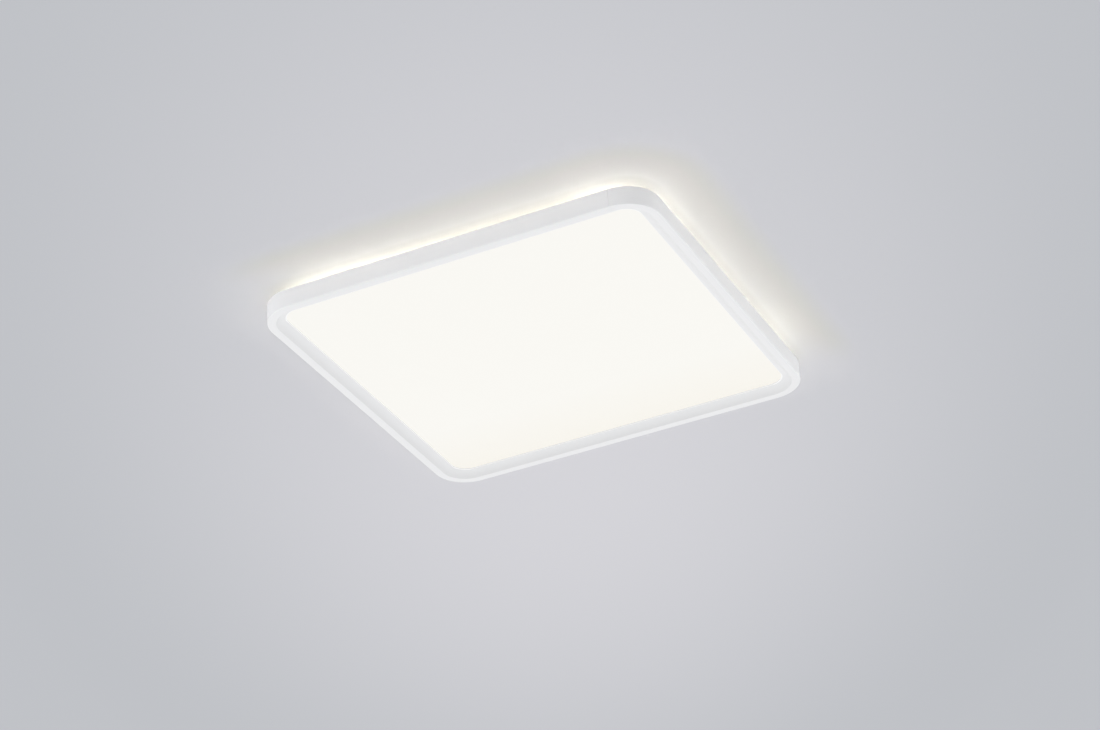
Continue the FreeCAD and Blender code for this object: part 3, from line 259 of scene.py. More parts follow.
def make_lights():
    """A softbox above the ceiling for the lamp's back, and two low strips beside the lamp for its walls.
    The strips leave the ceiling alone, where they would draw a streak."""
    unlit = bpy.data.collections.new("unlit_by_strips")
    unlit.objects.link(bpy.data.objects["ceiling"])
    unlit.collection_objects[0].light_linking.link_state = "EXCLUDE"
    area_light("softbox", *SOFTBOX)
    for name, sizes in LOW_STRIPS.items():
        area_light(name, *sizes, STRIP_HEIGHT).light_linking.receiver_collection = unlit


# ---- finishes

# Spans over which a finish turns from one look to the next: of a noise, of a normal's z, and of y and z
# in metres. BAND_SHARES are factors of the band's light, each across a span of one way over the lamp.
NOISE_SPAN = (0.3, 0.7)
STRIPE_EDGE = (0.62, 0.68)
WARM_SPAN = (0.1, 0.19)
PANEL_GLOW = 0.698
BAND_FOOT = (-0.0112, -0.0134)
BAND_GLOW = (0.3, 38.5)
BAND_FACE = (0.2, 0.5)
BAND_SHARES = (("x-y", (0.318, 0.350), (1.0, 3.5)), ("x-y", (-0.06, -0.005), (0.2, 1.0)),
               ("x+y", (-0.06, 0.04), (1.0, 1.04)), ("x", (-0.13, -0.02), (1.5, 1.0)),
               ("y", (0.05, 0.15), (1.0, 1.5)))
LIP_HALF = 0.1914
LIP_SPAN = (-0.0231, -0.0226)
LIP_GLOW = 0.3


finishes = {}


def finish(name, colour, roughness, metallic=0.0, mottle=(60.0, 0.02), grain=(1500.0, 0.00002),
           stretch=(1.0, 1.0, 1.0), cells=None, swing=0.06, stripe=None, warm=None, glow=None,
           glow_colour=(1.0, 1.0, 1.0)):
    """A finish with mottled colour, uneven gloss and a fine grain, and cells for spangle or foam."""
    material = finishes[name] = bpy.data.materials.new(name + "_finish")
    graph = Graph(material)
    coordinates = graph.node("TexCoord").outputs
    place = coordinates["Object"]
    stretched = graph.node("Mapping", {"Vector": place, "Scale": stretch})
    broad = graph.node("TexNoise", {"Vector": stretched, "Scale": mottle[0], "Detail": 3.0})
    fine = graph.node("TexNoise", {"Vector": stretched, "Scale": grain[0], "Detail": 2.0})
    dark = tuple(c * (1 - mottle[1]) for c in colour)
    light = tuple(min(1.0, c * (1 + mottle[1])) for c in colour)
    tint = graph.blend(graph.spread(broad, NOISE_SPAN, smooth=False), rgba(dark), rgba(light))
    height = fine.outputs[0]
    if stripe:
        upward = graph.axes(coordinates["Normal"])[2]
        tint = graph.blend(graph.spread(upward, STRIPE_EDGE, smooth=False), tint, rgba(stripe))
    if warm:
        along = graph.axes(place)[1]
        tint = graph.blend(graph.spread(along, WARM_SPAN, smooth=False), tint, rgba(warm))
    if cells:
        size, spangle, depth = cells
        cell = graph.node("TexVoronoi", {"Vector": place, "Scale": size})
        shade = graph.node("SeparateColor", {0: cell.outputs["Color"]}).outputs[0]
        dull = rgba(tuple(c * 0.75 for c in colour))
        tint = graph.blend(graph.maths("MULTIPLY", shade, spangle), tint, dull)
        height = graph.maths("MULTIPLY_ADD", cell.outputs["Distance"], depth, height)
    rough = graph.spread(broad, NOISE_SPAN, (roughness - swing, roughness + swing), smooth=False)
    bump = graph.node("Bump", {"Height": height, "Distance": grain[1], "Strength": 1.0})
    inputs = {"Base Color": tint, "Metallic": metallic, "Roughness": rough, "Normal": bump}
    if glow:
        inputs["Emission Strength"] = glow(graph, place)
        inputs["Emission Color"] = rgba(glow_colour)
    graph.node("OutputMaterial", {"Surface": graph.node("BsdfPrincipled", inputs)})


def panel_glow(graph, place):
    """The lit panel is bright to look at but leaves the shading of the cove beside it readable."""
    bounced = graph.node("LightPath").outputs["Is Diffuse Ray"]
    return graph.maths("MULTIPLY_ADD", bounced, -PANEL_GLOW, PANEL_GLOW)


def band_glow(graph, place):
    """The diodes sit low behind the band, closer together at the corner by the seam and sparse on the
    two far sides. The band's own face looks softly lit, whatever it throws on the ceiling."""
    x, y, z = graph.axes(place)
    across = {"x": x, "y": y, "x-y": graph.maths("SUBTRACT", x, y), "x+y": graph.maths("ADD", x, y)}
    seen = graph.node("LightPath").outputs["Is Camera Ray"]
    thrown = graph.spread(z, BAND_FOOT, BAND_GLOW)
    for way, span, ends in BAND_SHARES:
        thrown = graph.maths("MULTIPLY", thrown, graph.spread(across[way], span, ends))
    face = graph.spread(z, BAND_FOOT, BAND_FACE)
    return graph.maths("ADD", graph.maths("MULTIPLY", face, seen),
                       graph.maths("MULTIPLY", thrown, graph.maths("SUBTRACT", 1.0, seen)))


def painted_lip_glow(graph, place):
    """The frame's lip edge beside the lit panel carries a painted glow, so that it looks as bright as the
    panel.
    """
    inner = graph.maths("LESS_THAN", graph.furthest(place), LIP_HALF)
    x, y, z = graph.axes(place)
    return graph.maths("MULTIPLY", inner, graph.spread(z, LIP_SPAN, (0.0, LIP_GLOW)))


# the frame carries a painted glow along its lip's inner edge
finish("frame_white", (0.895, 0.895, 0.9), 0.42, mottle=(35.0, 0.006), swing=0.04, glow=painted_lip_glow,
       glow_colour=(1.0, 0.99, 0.95))
finish("opal_panel", (0.24, 0.24, 0.235), 0.5, mottle=(30.0, 0.004), warm=(0.228, 0.212, 0.183),
       glow=panel_glow, glow_colour=(1.0, 0.983, 0.925))
finish("frosted_band", (0.8, 0.78, 0.68), 0.6, glow=band_glow, glow_colour=(1.0, 0.95, 0.78))
finish("clear_acrylic", (0.85, 0.88, 0.88), 0.12, swing=0.02)
finish("reflector_white", (0.9, 0.9, 0.9), 0.7)
finish("foam_white", (0.85, 0.85, 0.84), 0.95, cells=(900.0, 0.2, 1.5), swing=0.02)
finish("foam_grey", (0.1, 0.105, 0.11), 0.95, cells=(900.0, 0.4, 1.5), swing=0.02)
finish("board_white", (0.82, 0.82, 0.79), 0.35)
finish("board_green", (0.02, 0.12, 0.045), 0.3)
finish("led_yellow", (0.85, 0.6, 0.08), 0.4)
finish("sheet_white", (0.56, 0.565, 0.57), 0.45, mottle=(25.0, 0.012))
finish("zinc_steel", (0.62, 0.63, 0.65), 0.36, metallic=1.0, cells=(140.0, 0.5, 0.2),
       mottle=(90.0, 0.05), swing=0.08)
finish("spring_steel", (0.5, 0.51, 0.53), 0.28, metallic=1.0, stretch=(1.0, 12.0, 12.0))
finish("rivet_aluminium", (0.72, 0.72, 0.73), 0.35, metallic=1.0)
finish("tinned_copper", (0.7, 0.69, 0.67), 0.3, metallic=1.0)
finish("brass", (0.72, 0.5, 0.2), 0.3, metallic=1.0)
finish("case_white", (0.74, 0.74, 0.72), 0.5)
finish("block_grey", (0.45, 0.46, 0.47), 0.45)
finish("button_brown", (0.12, 0.035, 0.012), 0.4)
finish("button_blue", (0.012, 0.07, 0.32), 0.4)
finish("button_green", (0.035, 0.23, 0.035), 0.4)
finish("transformer_yellow", (0.72, 0.45, 0.03), 0.3)
finish("capacitor_black", (0.02, 0.02, 0.025), 0.25)
finish("copper_winding", (0.5, 0.17, 0.06), 0.3, metallic=1.0)
finish("rubber_black", (0.025, 0.025, 0.027), 0.6)
finish("lead_brown", (0.1, 0.03, 0.012), 0.35)
finish("lead_blue", (0.01, 0.06, 0.28), 0.35)
finish("lead_green", (0.035, 0.2, 0.02), 0.35, stripe=(0.72, 0.6, 0.02))
finish("lead_red", (0.42, 0.012, 0.01), 0.35)
finish("lead_black", (0.015, 0.015, 0.016), 0.35)
finish("lead_white", (0.7, 0.7, 0.69), 0.35)
SLOT_OF = {part["node"]: part["material_slot"] for part in frame["record"]["subparts"]}
BODY_OF = {node: body for body, members in frame["record"]["behaviour"]["bodies"].items()
           for node in members}


# ---- mesh helpers

# angles between faces, in degrees
SMOOTH_BELOW = 32.0
FLAT_BELOW = 0.4
SOFTEN_ABOVE = 38.0


def joined(name, data, node):
    """Puts a piece into the scene in place of its node, with that node's finish and body."""
    made = added(name, data)
    data.materials.clear()
    data.materials.append(finishes[SLOT_OF[node]])
    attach(made, BODY_OF[node])
    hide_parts(node)
    return made


def placed(name, mesh, node, angle=SMOOTH_BELOW):
    """Puts a mesh given in millimetres into the scene for a node."""
    mesh.transform(Matrix.Scale(MM, 4))
    mesh.name = name
    mesh.shade_smooth()
    mesh.set_sharp_from_angle(angle=math.radians(angle))
    made = joined(name, mesh, node)
    made.modifiers.new("flat_faces", "WEIGHTED_NORMAL").keep_sharp = True
    return made


class Shape:
    """Closed shapes given by rows of points; one Shape may hold several."""

    def __init__(self):
        self.vertices = []
        self.faces = []

    def rows(self, rows, looped=False):
        """Skins rows of equal length; looped joins the last row to the first, else both ends are capped."""
        numbers = []
        for row in rows:
            start = len(self.vertices)
            self.vertices.extend(row)
            numbers.append(range(start, start + len(row)))
        count = len(rows[0])
        pairs = list(zip(numbers, numbers[1:])) + ([(numbers[-1], numbers[0])] if looped else [])
        for low, high in pairs:
            for i in range(count):
                j = (i + 1) % count
                self.faces.append((low[i], low[j], high[j], high[i]))
        if not looped:
            self.faces.append(tuple(numbers[0]))
            self.faces.append(tuple(numbers[-1]))
        return self

    def add(self, *others):
        for other in others:
            start = len(self.vertices)
            self.vertices.extend(other.vertices)
            self.faces.extend(tuple(n + start for n in face) for face in other.faces)
        return self

    def mesh(self):
        mesh = bpy.data.meshes.new("work")
        mesh.from_pydata(self.vertices, [], self.faces)
        turned = bmesh.new()
        turned.from_mesh(mesh)
        bmesh.ops.recalc_face_normals(turned, faces=turned.faces)
        turned.to_mesh(mesh)
        turned.free()
        return mesh


def moulded(name, node, solids, cuts=(), soft=0.3, segments=2, extras=()):
    """Joins and cuts closed shapes, softens the edges and adds the extras as they are."""
    work = [added("work", shape.mesh()) for shape in [*solids, *cuts]]
    body = work[0]
    for number, tool in enumerate(work[1:], start=1):
        step = body.modifiers.new("step", "BOOLEAN")
        step.object = tool
        step.operation = "UNION" if number < len(solids) else "DIFFERENCE"
        step.solver = "MANIFOLD"
    if len(work) > 1:
        flat = body.modifiers.new("flat", "DECIMATE")
        flat.decimate_type = "DISSOLVE"
        flat.angle_limit = math.radians(FLAT_BELOW)
    if soft:
        edge = body.modifiers.new("edge", "BEVEL")
        edge.width = soft
        edge.segments = segments
        edge.limit_method = "ANGLE"
        edge.angle_limit = math.radians(SOFTEN_ABOVE)
    made = bpy.data.meshes.new_from_object(body.evaluated_get(bpy.context.evaluated_depsgraph_get()))
    if not made.polygons:
        raise RuntimeError(f"{name} came out empty")
    for holder in work:
        mesh = holder.data
        bpy.data.objects.remove(holder)
        bpy.data.meshes.remove(mesh)
    if extras:
        both = bmesh.new()
        both.from_mesh(made)
        for extra in extras:
            mesh = extra.mesh()
            both.from_mesh(mesh)
            bpy.data.meshes.remove(mesh)
        both.to_mesh(made)
        both.free()
    return placed(name, made, node)


def group(shapes):
    return Shape().add(*shapes)


def shaped(name, node, *shapes, angle=SMOOTH_BELOW):
    return placed(name, group(shapes).mesh(), node, angle)


def distinct(points):
    """Leaves out points that repeat the one before them."""
    kept = [p for i, p in enumerate(points) if math.dist(p, points[i - 1]) > 1e-4]
    return kept or points


def stations(half, radius, steps=28, half_y=None, centre=(0.0, 0.0), pitch=None):
    """Centre, outward direction and radius at each stop round a rounded rectangle, anticlockwise."""
    half_y = half_y or half
    stops = []
    for quarter, (sx, sy) in enumerate(((1, -1), (1, 1), (-1, 1), (-1, -1))):
        middle = (centre[0] + sx * (half - radius), centre[1] + sy * (half_y - radius))
        for step in range(steps + 1):
            turn = math.radians(-90 + 90 * quarter + 90 * step / steps)
            stops.append((*middle, math.cos(turn), math.sin(turn), radius))
        if pitch:
            length = 2 * ((half_y if quarter % 2 == 0 else half) - radius)
            ahead = ((0, 1), (-1, 0), (0, -1), (1, 0))[quarter]
            number = max(1, round(length / pitch))
            for step in range(1, number):
                run = length * step / number
                stops.append((middle[0] + ahead[0] * run, middle[1] + ahead[1] * run,
                              math.cos(turn), math.sin(turn), radius))
    return stops


def at(stop, inset):
    """The point at a stop of stations, inset from the outline."""
    cx, cy, nx, ny, radius = stop
    return cx + nx * (radius - inset), cy + ny * (radius - inset)


def outline(half_x, half_y, radius=0.0, x=0.0, y=0.0, steps=6):
    if not radius:
        return [(x + half_x, y - half_y), (x + half_x, y + half_y), (x - half_x, y + half_y),
                (x - half_x, y - half_y)]
    return distinct([at(stop, 0.0) for stop in stations(half_x, radius, steps, half_y, (x, y))])


def round_outline(radius, x=0.0, y=0.0, sides=32):
    return [(x + radius * math.cos(2 * math.pi * i / sides),
             y + radius * math.sin(2 * math.pi * i / sides)) for i in range(sides)]


TO_AXIS = {
    "z": lambda a, b, c: (a, b, c),
    "y": lambda a, b, c: (a, c, b),
    "x": lambda a, b, c: (c, a, b),
}


def prism(points, low, high, axis="z"):
    place = TO_AXIS[axis]
    return Shape().rows([[place(a, b, c) for a, b in points] for c in (low, high)])


def box(x0, x1, y0, y1, z0, z1, radius=0.0, steps=5):
    return prism(outline((x1 - x0) / 2, (y1 - y0) / 2, radius, (x0 + x1) / 2, (y0 + y1) / 2, steps), z0, z1)


def rod(radius, x, y, z, length, axis="z", sides=28):
    """A round bar from a place along an axis."""
    a, b, c = {"z": (x, y, z), "y": (x, z, y), "x": (y, z, x)}[axis]
    return prism(round_outline(radius, a, b, sides), c, c + length, axis)


def lathe(profile, place, axis="z", sides=36, looped=False, wave=None):
    """Turns (radius, height) pairs round an axis; wave=(teeth, depth) notches the outermost radius."""
    widest = max(r for r, h in profile)
    rows = []
    for radius, height in profile:
        row = []
        for i in range(sides):
            turn = 2 * math.pi * i / sides
            out = radius
            if wave and radius == widest:
                out = radius - wave[1] * (0.5 - 0.5 * math.cos(wave[0] * turn))
            row.append(place(*TO_AXIS[axis](out * math.cos(turn), out * math.sin(turn), height)))
        rows.append(row)
    return Shape().rows(rows, looped)


def moved(x, y, z):
    return lambda a, b, c: (a + x, b + y, c + z)


def ring(name, node, section, half, radius, stops=None, shift=None):
    """A closed section of (inset, z) carried round a rounded rectangle."""
    stops = stops or stations(half, radius)
    rows = []
    for inset, z in section:
        row = []
        for stop in stops:
            extra = shift(stop, inset, z) if shift else (0.0, 0.0)
            row.append((*at(stop, inset + extra[0]), z + extra[1]))
        rows.append(row)
    return shaped(name, node, Shape().rows(rows, looped=True), angle=30.0)


def arc(centre, radius, start, stop, steps):
    """Points of an arc between two angles in degrees."""
    return [(centre[0] + radius * math.cos(math.radians(start + (stop - start) * i / steps)),
             centre[1] + radius * math.sin(math.radians(start + (stop - start) * i / steps)))
            for i in range(steps + 1)]


def softened(points, radii, steps=4):
    """A closed section with its corners rounded; radii maps a corner's number to its radius."""
    made = []
    for i, point in enumerate(points):
        radius = radii.get(i, 0.0) if isinstance(radii, dict) else radii
        if not radius:
            made.append(point)
            continue
        corner = Vector(point)
        before = Vector(points[i - 1]) - corner
        after = Vector(points[(i + 1) % len(points)]) - corner
        reach = min(radius / math.tan(before.angle(after) / 2), before.length * 0.48, after.length * 0.48)
        a = corner + before.normalized() * reach
        b = corner + after.normalized() * reach
        for step in range(steps + 1):
            t = step / steps
            made.append(tuple(a * (1 - t) ** 2 + corner * 2 * t * (1 - t) + b * t ** 2))
    return made


def strip(path, radii, thickness, steps=5):
    """The closed section of a bent sheet of even thickness that follows an open path."""
    fine = [path[0]]
    for i in range(1, len(path) - 1):
        fine += softened([path[i - 1], path[i], path[i + 1]], {1: radii[i]}, steps)[1:-1]
    fine.append(path[-1])
    left, right = [], []
    for i, point in enumerate(fine):
        ahead = (Vector(fine[min(i + 1, len(fine) - 1)]) - Vector(fine[max(i - 1, 0)])).normalized()
        side = Vector((-ahead.y, ahead.x)) * thickness / 2
        left.append(tuple(Vector(point) + side))
        right.append(tuple(Vector(point) - side))
    return left + right[::-1]


def in_square(inset, place):
    """The eight places of screws set in from the sides of a square."""
    signs = [(s, t) for s in (1, -1) for t in (1, -1)]
    return [(s * inset, t * place) for s, t in signs] + [(t * place, s * inset) for s, t in signs]


THREAD_PITCH = 0.6
RECESS_REACH = 0.6
RECESS_EDGE = 11.25


def pan_head(place, radius, height, shank, length, turn=0.0):
    """A pan-head screw with a cross recess: the head stands on c = 0 and the shank goes down."""
    sides = 32
    arm = RECESS_REACH * radius
    width = arm * math.tan(math.radians(RECESS_EDGE))

    def cross(angle):
        from_arm = abs((math.degrees(angle - turn) + 45) % 90 - 45)
        if from_arm <= RECESS_EDGE + 0.01:
            return arm / math.cos(math.radians(from_arm))
        return width / math.sin(math.radians(from_arm))

    def circle(reach, level):
        angles = [turn + 2 * math.pi * i / sides for i in range(sides)]
        return [place(reach(a) * math.cos(a), reach(a) * math.sin(a), level) for a in angles]

    plan = [(lambda a: 0.7 * cross(a), 0.38), (lambda a: 0.86 * cross(a), 0.55), (cross, 0.96),
            (lambda a: max(cross(a) * 1.04, 0.66 * radius), 0.95), (lambda a: 0.84 * radius, 0.82),
            (lambda a: 0.95 * radius, 0.58), (lambda a: radius, 0.25), (lambda a: radius, 0.0),
            (lambda a: shank, 0.0)]
    rows = [circle(reach, level * height) for reach, level in plan]
    threads = max(2, int(length / THREAD_PITCH))
    for number in range(1, threads * 2):
        reach = shank * (0.84 if number % 2 else 1.0)
        rows.append(circle(lambda a: reach, -length * number / (threads * 2)))
    rows.append(circle(lambda a: shank * 0.6, -length))
    return Shape().rows(rows)


SCREW_HEAD = (2.8, 1.3)
SCREW_SHANK = 1.45


def screws(name, node, places, z, length):
    shaped(name, node, *[pan_head(moved(x, y, z), *SCREW_HEAD, SCREW_SHANK, length, 0.65 * number)
                         for number, (x, y) in enumerate(places)])


def lead(name, node, routes, diameter):
    """Insulated wires that follow smooth lines through their routes, given in millimetres."""
    curve = bpy.data.curves.new(name, "CURVE")
    curve.dimensions = "3D"
    curve.bevel_depth = diameter / 2 * MM
    curve.bevel_resolution = 3
    curve.use_fill_caps = True
    curve.resolution_u = 10
    for route in routes:
        line = curve.splines.new("NURBS")
        line.points.add(len(route) - 1)
        for stop, place in zip(line.points, route):
            stop.co = (*[c * MM for c in place], 1.0)
        line.order_u = 3
        line.use_endpoint_u = True
    return joined(name, curve, node)


# ---- frame and light stack

HALF = 210.0
CORNER = 37.0
SEAM_X = 173.0
SEAM_DEPTH = 0.7
BEVEL_CENTRE = (23.855, -42.05)
BEVEL_FOOT = (8.7, -29.0)
BEVEL_TOP = (18.8, -22.7)
# the panels that lie in the frame, and the two faces of the back plate
STACK_HALF = 200.7
STACK_CORNER = 27.7
PLATE_Z = -15.1
BAY_Z = -14.3


def make_frame():
    """The bent profile: wall, rim and hollow bevel, with the lip and flange that hold the stack."""
    start, stop = [math.degrees(math.atan2(z - BEVEL_CENTRE[1], x - BEVEL_CENTRE[0]))
                   for x, z in (BEVEL_FOOT, BEVEL_TOP)]
    bevel = arc(BEVEL_CENTRE, 20.0, start, stop, 10)
    web = [(x, max(-27.6, min(-22.7, z))) for x, z in arc(BEVEL_CENTRE, 21.4, stop, start, 8)]
    section = [(0.8, -29.0)] + bevel + [(18.8, -21.7), (8.8, -21.7), (8.8, -22.7)]
    section += web[1:-1] + [(1.6, -27.6), (1.6, -18.1), (8.8, -18.1), (8.8, -15.1), (1.6, -15.1)]
    section += [(1.6, -9.25), (1.35, -9.0), (0.25, -9.0), (0.0, -9.25)]
    section += [(0.0, z) for z in (-14.0, -20.0, -26.0)]
    section += [(0.8 - 0.8 * math.cos(math.radians(a)), -28.2 - 0.8 * math.sin(math.radians(a)))
                for a in (0, 18, 36, 54, 72)]
    seam = [(SEAM_X + side, -(HALF - CORNER), 0.0, -1.0, CORNER) for side in (-0.28, -0.24, 0.24)]

    def groove(stop, inset, z):
        return (SEAM_DEPTH if stop in seam[1:] and inset < 0.05 and z > -28.3 else 0.0), 0.0

    ring("frame_profile", "front_frame", section, HALF, CORNER, seam + stations(HALF, CORNER), groove)


def make_stack():
    """Opal panel, light guide and reflector lie on each other on the frame's lip."""
    for name, node, half, low, high, soft, segments in (
            ("diffuser", "diffuser_panel", STACK_HALF, -21.7, -20.2, 0.25, 2),
            ("acrylic_guide", "light_guide", 198.5, -20.2, -17.2, 0.3, 2),
            ("reflector", "reflector_sheet", 198.5, -17.2, -16.9, 0.08, 1)):
        sheet = prism(outline(half, STACK_HALF, STACK_CORNER, steps=16), low, high)
        moulded(name, node, [sheet], soft=soft, segments=segments)


def make_foam():
    """A soft sheet with a crowned rim and the slight quilting that pressed foam keeps."""
    stops = stations(143.0, STACK_CORNER, 10, pitch=9.0)
    rows = []
    plan = [(1.0, 0.0), (0.998, 0.55), (0.992, 0.85), (0.98, 1.0), (0.9, 0.98), (0.75, 1.0), (0.6, 0.97),
            (0.45, 1.0), (0.3, 0.98), (0.12, 1.0)]
    for share, level in [*plan[::-1], *[(s, -h) for s, h in plan[1:]]]:
        row = []
        for stop in stops:
            x, y = [c * share for c in at(stop, 0.0)]
            dimple = 0.05 * math.sin(x / 9.0) * math.sin(y / 9.0) if share < 0.97 else 0.0
            row.append((x, y, -16.0 + level * (0.88 + dimple * (1 if level > 0 else -1))))
        rows.append(row)
    made = shaped("foam_sheet", "foam_pad", Shape().rows(rows), angle=80.0)


LEAD_SLOT = (153.5, 70.0)


def make_back_plate():
    """A coated sheet with three pressed beads and a slot for the leads."""
    bead = ((0.0, BAY_Z - 0.15), (0.0, BAY_Z), (0.5, -13.92), (1.0, -13.62), (1.7, -13.4), (2.6, -13.3))
    beads = [Shape().rows([[(*p, z) for p in outline(120.0 - inset, 4.5 - inset, 4.4 - inset, 0.0, y, 8)]
                           for inset, z in bead]) for y in (-58.0, -94.0, -130.0)]
    sheet = prism(outline(207.9, 207.9, 34.9, steps=20), PLATE_Z, BAY_Z)
    slot = prism(outline(9.0, 4.5, 4.49, *LEAD_SLOT, 8), PLATE_Z - 1, BAY_Z + 1)
    moulded("coated_plate", "back_plate", [sheet], [slot], soft=0.18, extras=beads)
    screws("plate_screws", "back_plate_screws", in_square(204.8, 92.0), BAY_Z, 3.2)


# ---- rear pan and light band

# half width and corner radius
PAN = (175.0, 20.0)


def make_pan():
    """The rear pan is a wall between two flanges, one on the back plate and one under the ceiling."""
    section = softened([(0, -14.3), (11, -14.3), (11, -13.3), (1, -13.3), (1, -2.5), (14, -2.5), (14, -1.5),
                        (-3.5, -1.5), (-3.5, -2.5), (0, -2.5)],
                       {0: 1.3, 1: 0.3, 2: 0.3, 3: 0.6, 4: 0.5, 5: 0.3, 6: 0.3, 7: 0.3, 8: 0.3, 9: 0.5})
    ring("pressed_pan", "rear_pan", section, *PAN)
    screws("pan_screws", "rear_pan_screws", in_square(169.0, 104.0), -13.3, 1.8)


def make_gasket():
    """Closed-cell foam, crowned between its edges and a little uneven where it was cut."""
    drift = random.Random(7)
    uneven = {}

    def wander(stop, inset, z):
        key = (round(stop[0], 1), round(stop[1], 1), round(stop[2], 3))
        if key not in uneven:
            uneven[key] = drift.uniform(-0.12, 0.12)
        side = 1 if inset < 5 else -1
        return (uneven[key] + 0.14) * side if inset < 0 or inset > 10.5 else 0.0, 0.0

    section = [(-2.0, -1.5), (-2.0, -1.1), (-2.0, -0.5), (-1.6, -0.12), (-0.8, -0.03), (2.0, 0.0),
               (5.2, -0.01), (8.5, 0.0), (11.3, -0.03), (12.1, -0.12), (12.5, -0.5), (12.5, -1.1),
               (12.5, -1.5)]
    stops = stations(*PAN, 16, pitch=6.0)
    ring("foam_seal", "ceiling_gasket", section, *PAN, stops, wander)


def make_band():
    """The frosted band stands round the pan; the diode tape is glued to the pan's wall behind it."""
    section = softened([(0, -14.3), (7.7, -14.3), (7.7, -12.8), (1.5, -12.8), (1.5, -4.0), (7.7, -4.0),
                        (7.7, -2.5), (0, -2.5)], {0: 0.8, 7: 0.8, 3: 0.5, 4: 0.5})
    ring("light_band", "backlight_lens", section, 183.0, 28.0)
    tape = softened([(0, -12.4), (0.4, -12.4), (0.4, -4.4), (0, -4.4)], 0.08, 2)
    ring("diode_tape", "backlight_strip", tape, 175.4, 20.4)


# ---- ceiling bracket and springs

EARTH_TAB = (32.0, -7.7)


def make_bracket():
    """A channel with a hooked lip at each end, two slots, a cable hole with a collar and an earth tab."""
    channel = strip([(-16.4, -4.0), (-16.4, -0.6), (16.4, -0.6), (16.4, -4.0)], [0, 1.6, 1.6, 0], 1.2)
    hook = strip([(-109.4, -12.0), (-109.4, -0.6), (109.4, -0.6), (109.4, -12.0)], [0, 1.8, 1.8, 0], 1.2)
    collar = [(13.0, -2.6), (14.2, -2.6), (14.2, -0.9), (15.2, -0.5), (13.0, -0.5)]
    tab_x, tab_z = EARTH_TAB
    solids = [prism(channel, -100.0, 100.0, "x"), prism(hook, -13.0, 13.0, "y")]
    solids += [box(*sorted((side * 96.0, side * 108.4)), -17.0, 17.0, -1.2, 0.0, 3.0) for side in (-1, 1)]
    solids += [prism(outline(6.0, 4.2, 2.0, tab_x, -7.2), -17.0, -15.8, "y"),
               lathe(collar, moved(0, 0, 0), sides=48, looped=True)]
    cuts = [prism(outline(9.0, 2.3, 2.29, side * 60.0, 0.0, 8), -3.0, 2.0) for side in (-1, 1)]
    cuts += [rod(13.0, 0, 0, -3.0, 6.0, sides=48),
             prism(outline(9.0, 2.2, 1.0, 0.0, -7.6), -120.0, 120.0, "x"),
             rod(1.9, tab_x, -20.0, tab_z, 8.0, "y")]
    moulded("stamped_bracket", "ceiling_bracket", solids, cuts, soft=0.16)

    def outwards(a, b, c):
        return (tab_x + a, -17.9 - c, tab_z + b)

    washer = lathe([(2.0, -0.9), (4.2, -0.9), (4.2, 0.0), (2.0, 0.0)], outwards, sides=120, looped=True,
                   wave=(12, 0.55))
    shaped("star_washer", "earth_washer", washer)
    shaped("brass_screw", "earth_screw", pan_head(outwards, 3.8, 1.9, 1.85, 6.0, 0.4))


RIVET_X = 121.6
RIVET_Y = 4.0


def make_springs():
    """Each leaf is bent from strip with rounded ends; its crest rests in the bracket's window."""
    path = [(127.6, -14.05), (112.85, -14.05), (112.85, -11.3), (109.35, -7.6), (111.45, -3.75)]
    clip = [(130, 9), (130, 4.6), (127.6, 5.0), (126.2, 5.6), (125.3, 6.5), (125.0, 9)]
    for name, side in (("right", 1), ("left", -1)):
        section = strip([(side * x, z) for x, z in path], [0, 1.0, 1.6, 2.2, 0], 0.5)
        holes = group(rod(1.5, side * RIVET_X, y, -15.0, 2.0) for y in (RIVET_Y, -RIVET_Y))
        trim = group(prism([(side * x, end * y) for x, y in clip], -15.0, -13.0) for end in (1, -1))
        leaf = prism(section, -7.0, 7.0, "y")
        moulded(name + "_leaf", name + "_catch_spring", [leaf], [holes, trim], soft=0.08, segments=1)
    profile = [(0.55, 0.42), (0.7, 0.62), (1.2, 0.8), (1.8, 0.72), (2.3, 0.42), (2.5, 0.12), (2.5, 0.0),
               (1.45, 0.0), (1.45, -1.2), (1.1, -1.3)]
    heads = [lathe(profile, moved(side * RIVET_X, y, BAY_Z + 0.5), sides=28)
             for side in (1, -1) for y in (RIVET_Y, -RIVET_Y)]
    shaped("blind_rivets", "catch_rivets", *heads)


# ---- terminal box

BOX_X = -75.0
# y and z of the lid's hinge; x of the three poles; height and y of the wires' holes
HINGE = (96.8, -3.4)
PIN_BORE = 0.74
POLES = (-88.0, -75.0, -62.0)
WIRE_Z = -9.0
EARTH_Y = 84.5
MAINS_Y = (87.5, 90.5)
FRONT_Y = (68.5, 71.5)
REAR_Y = (89.5, 92.5)


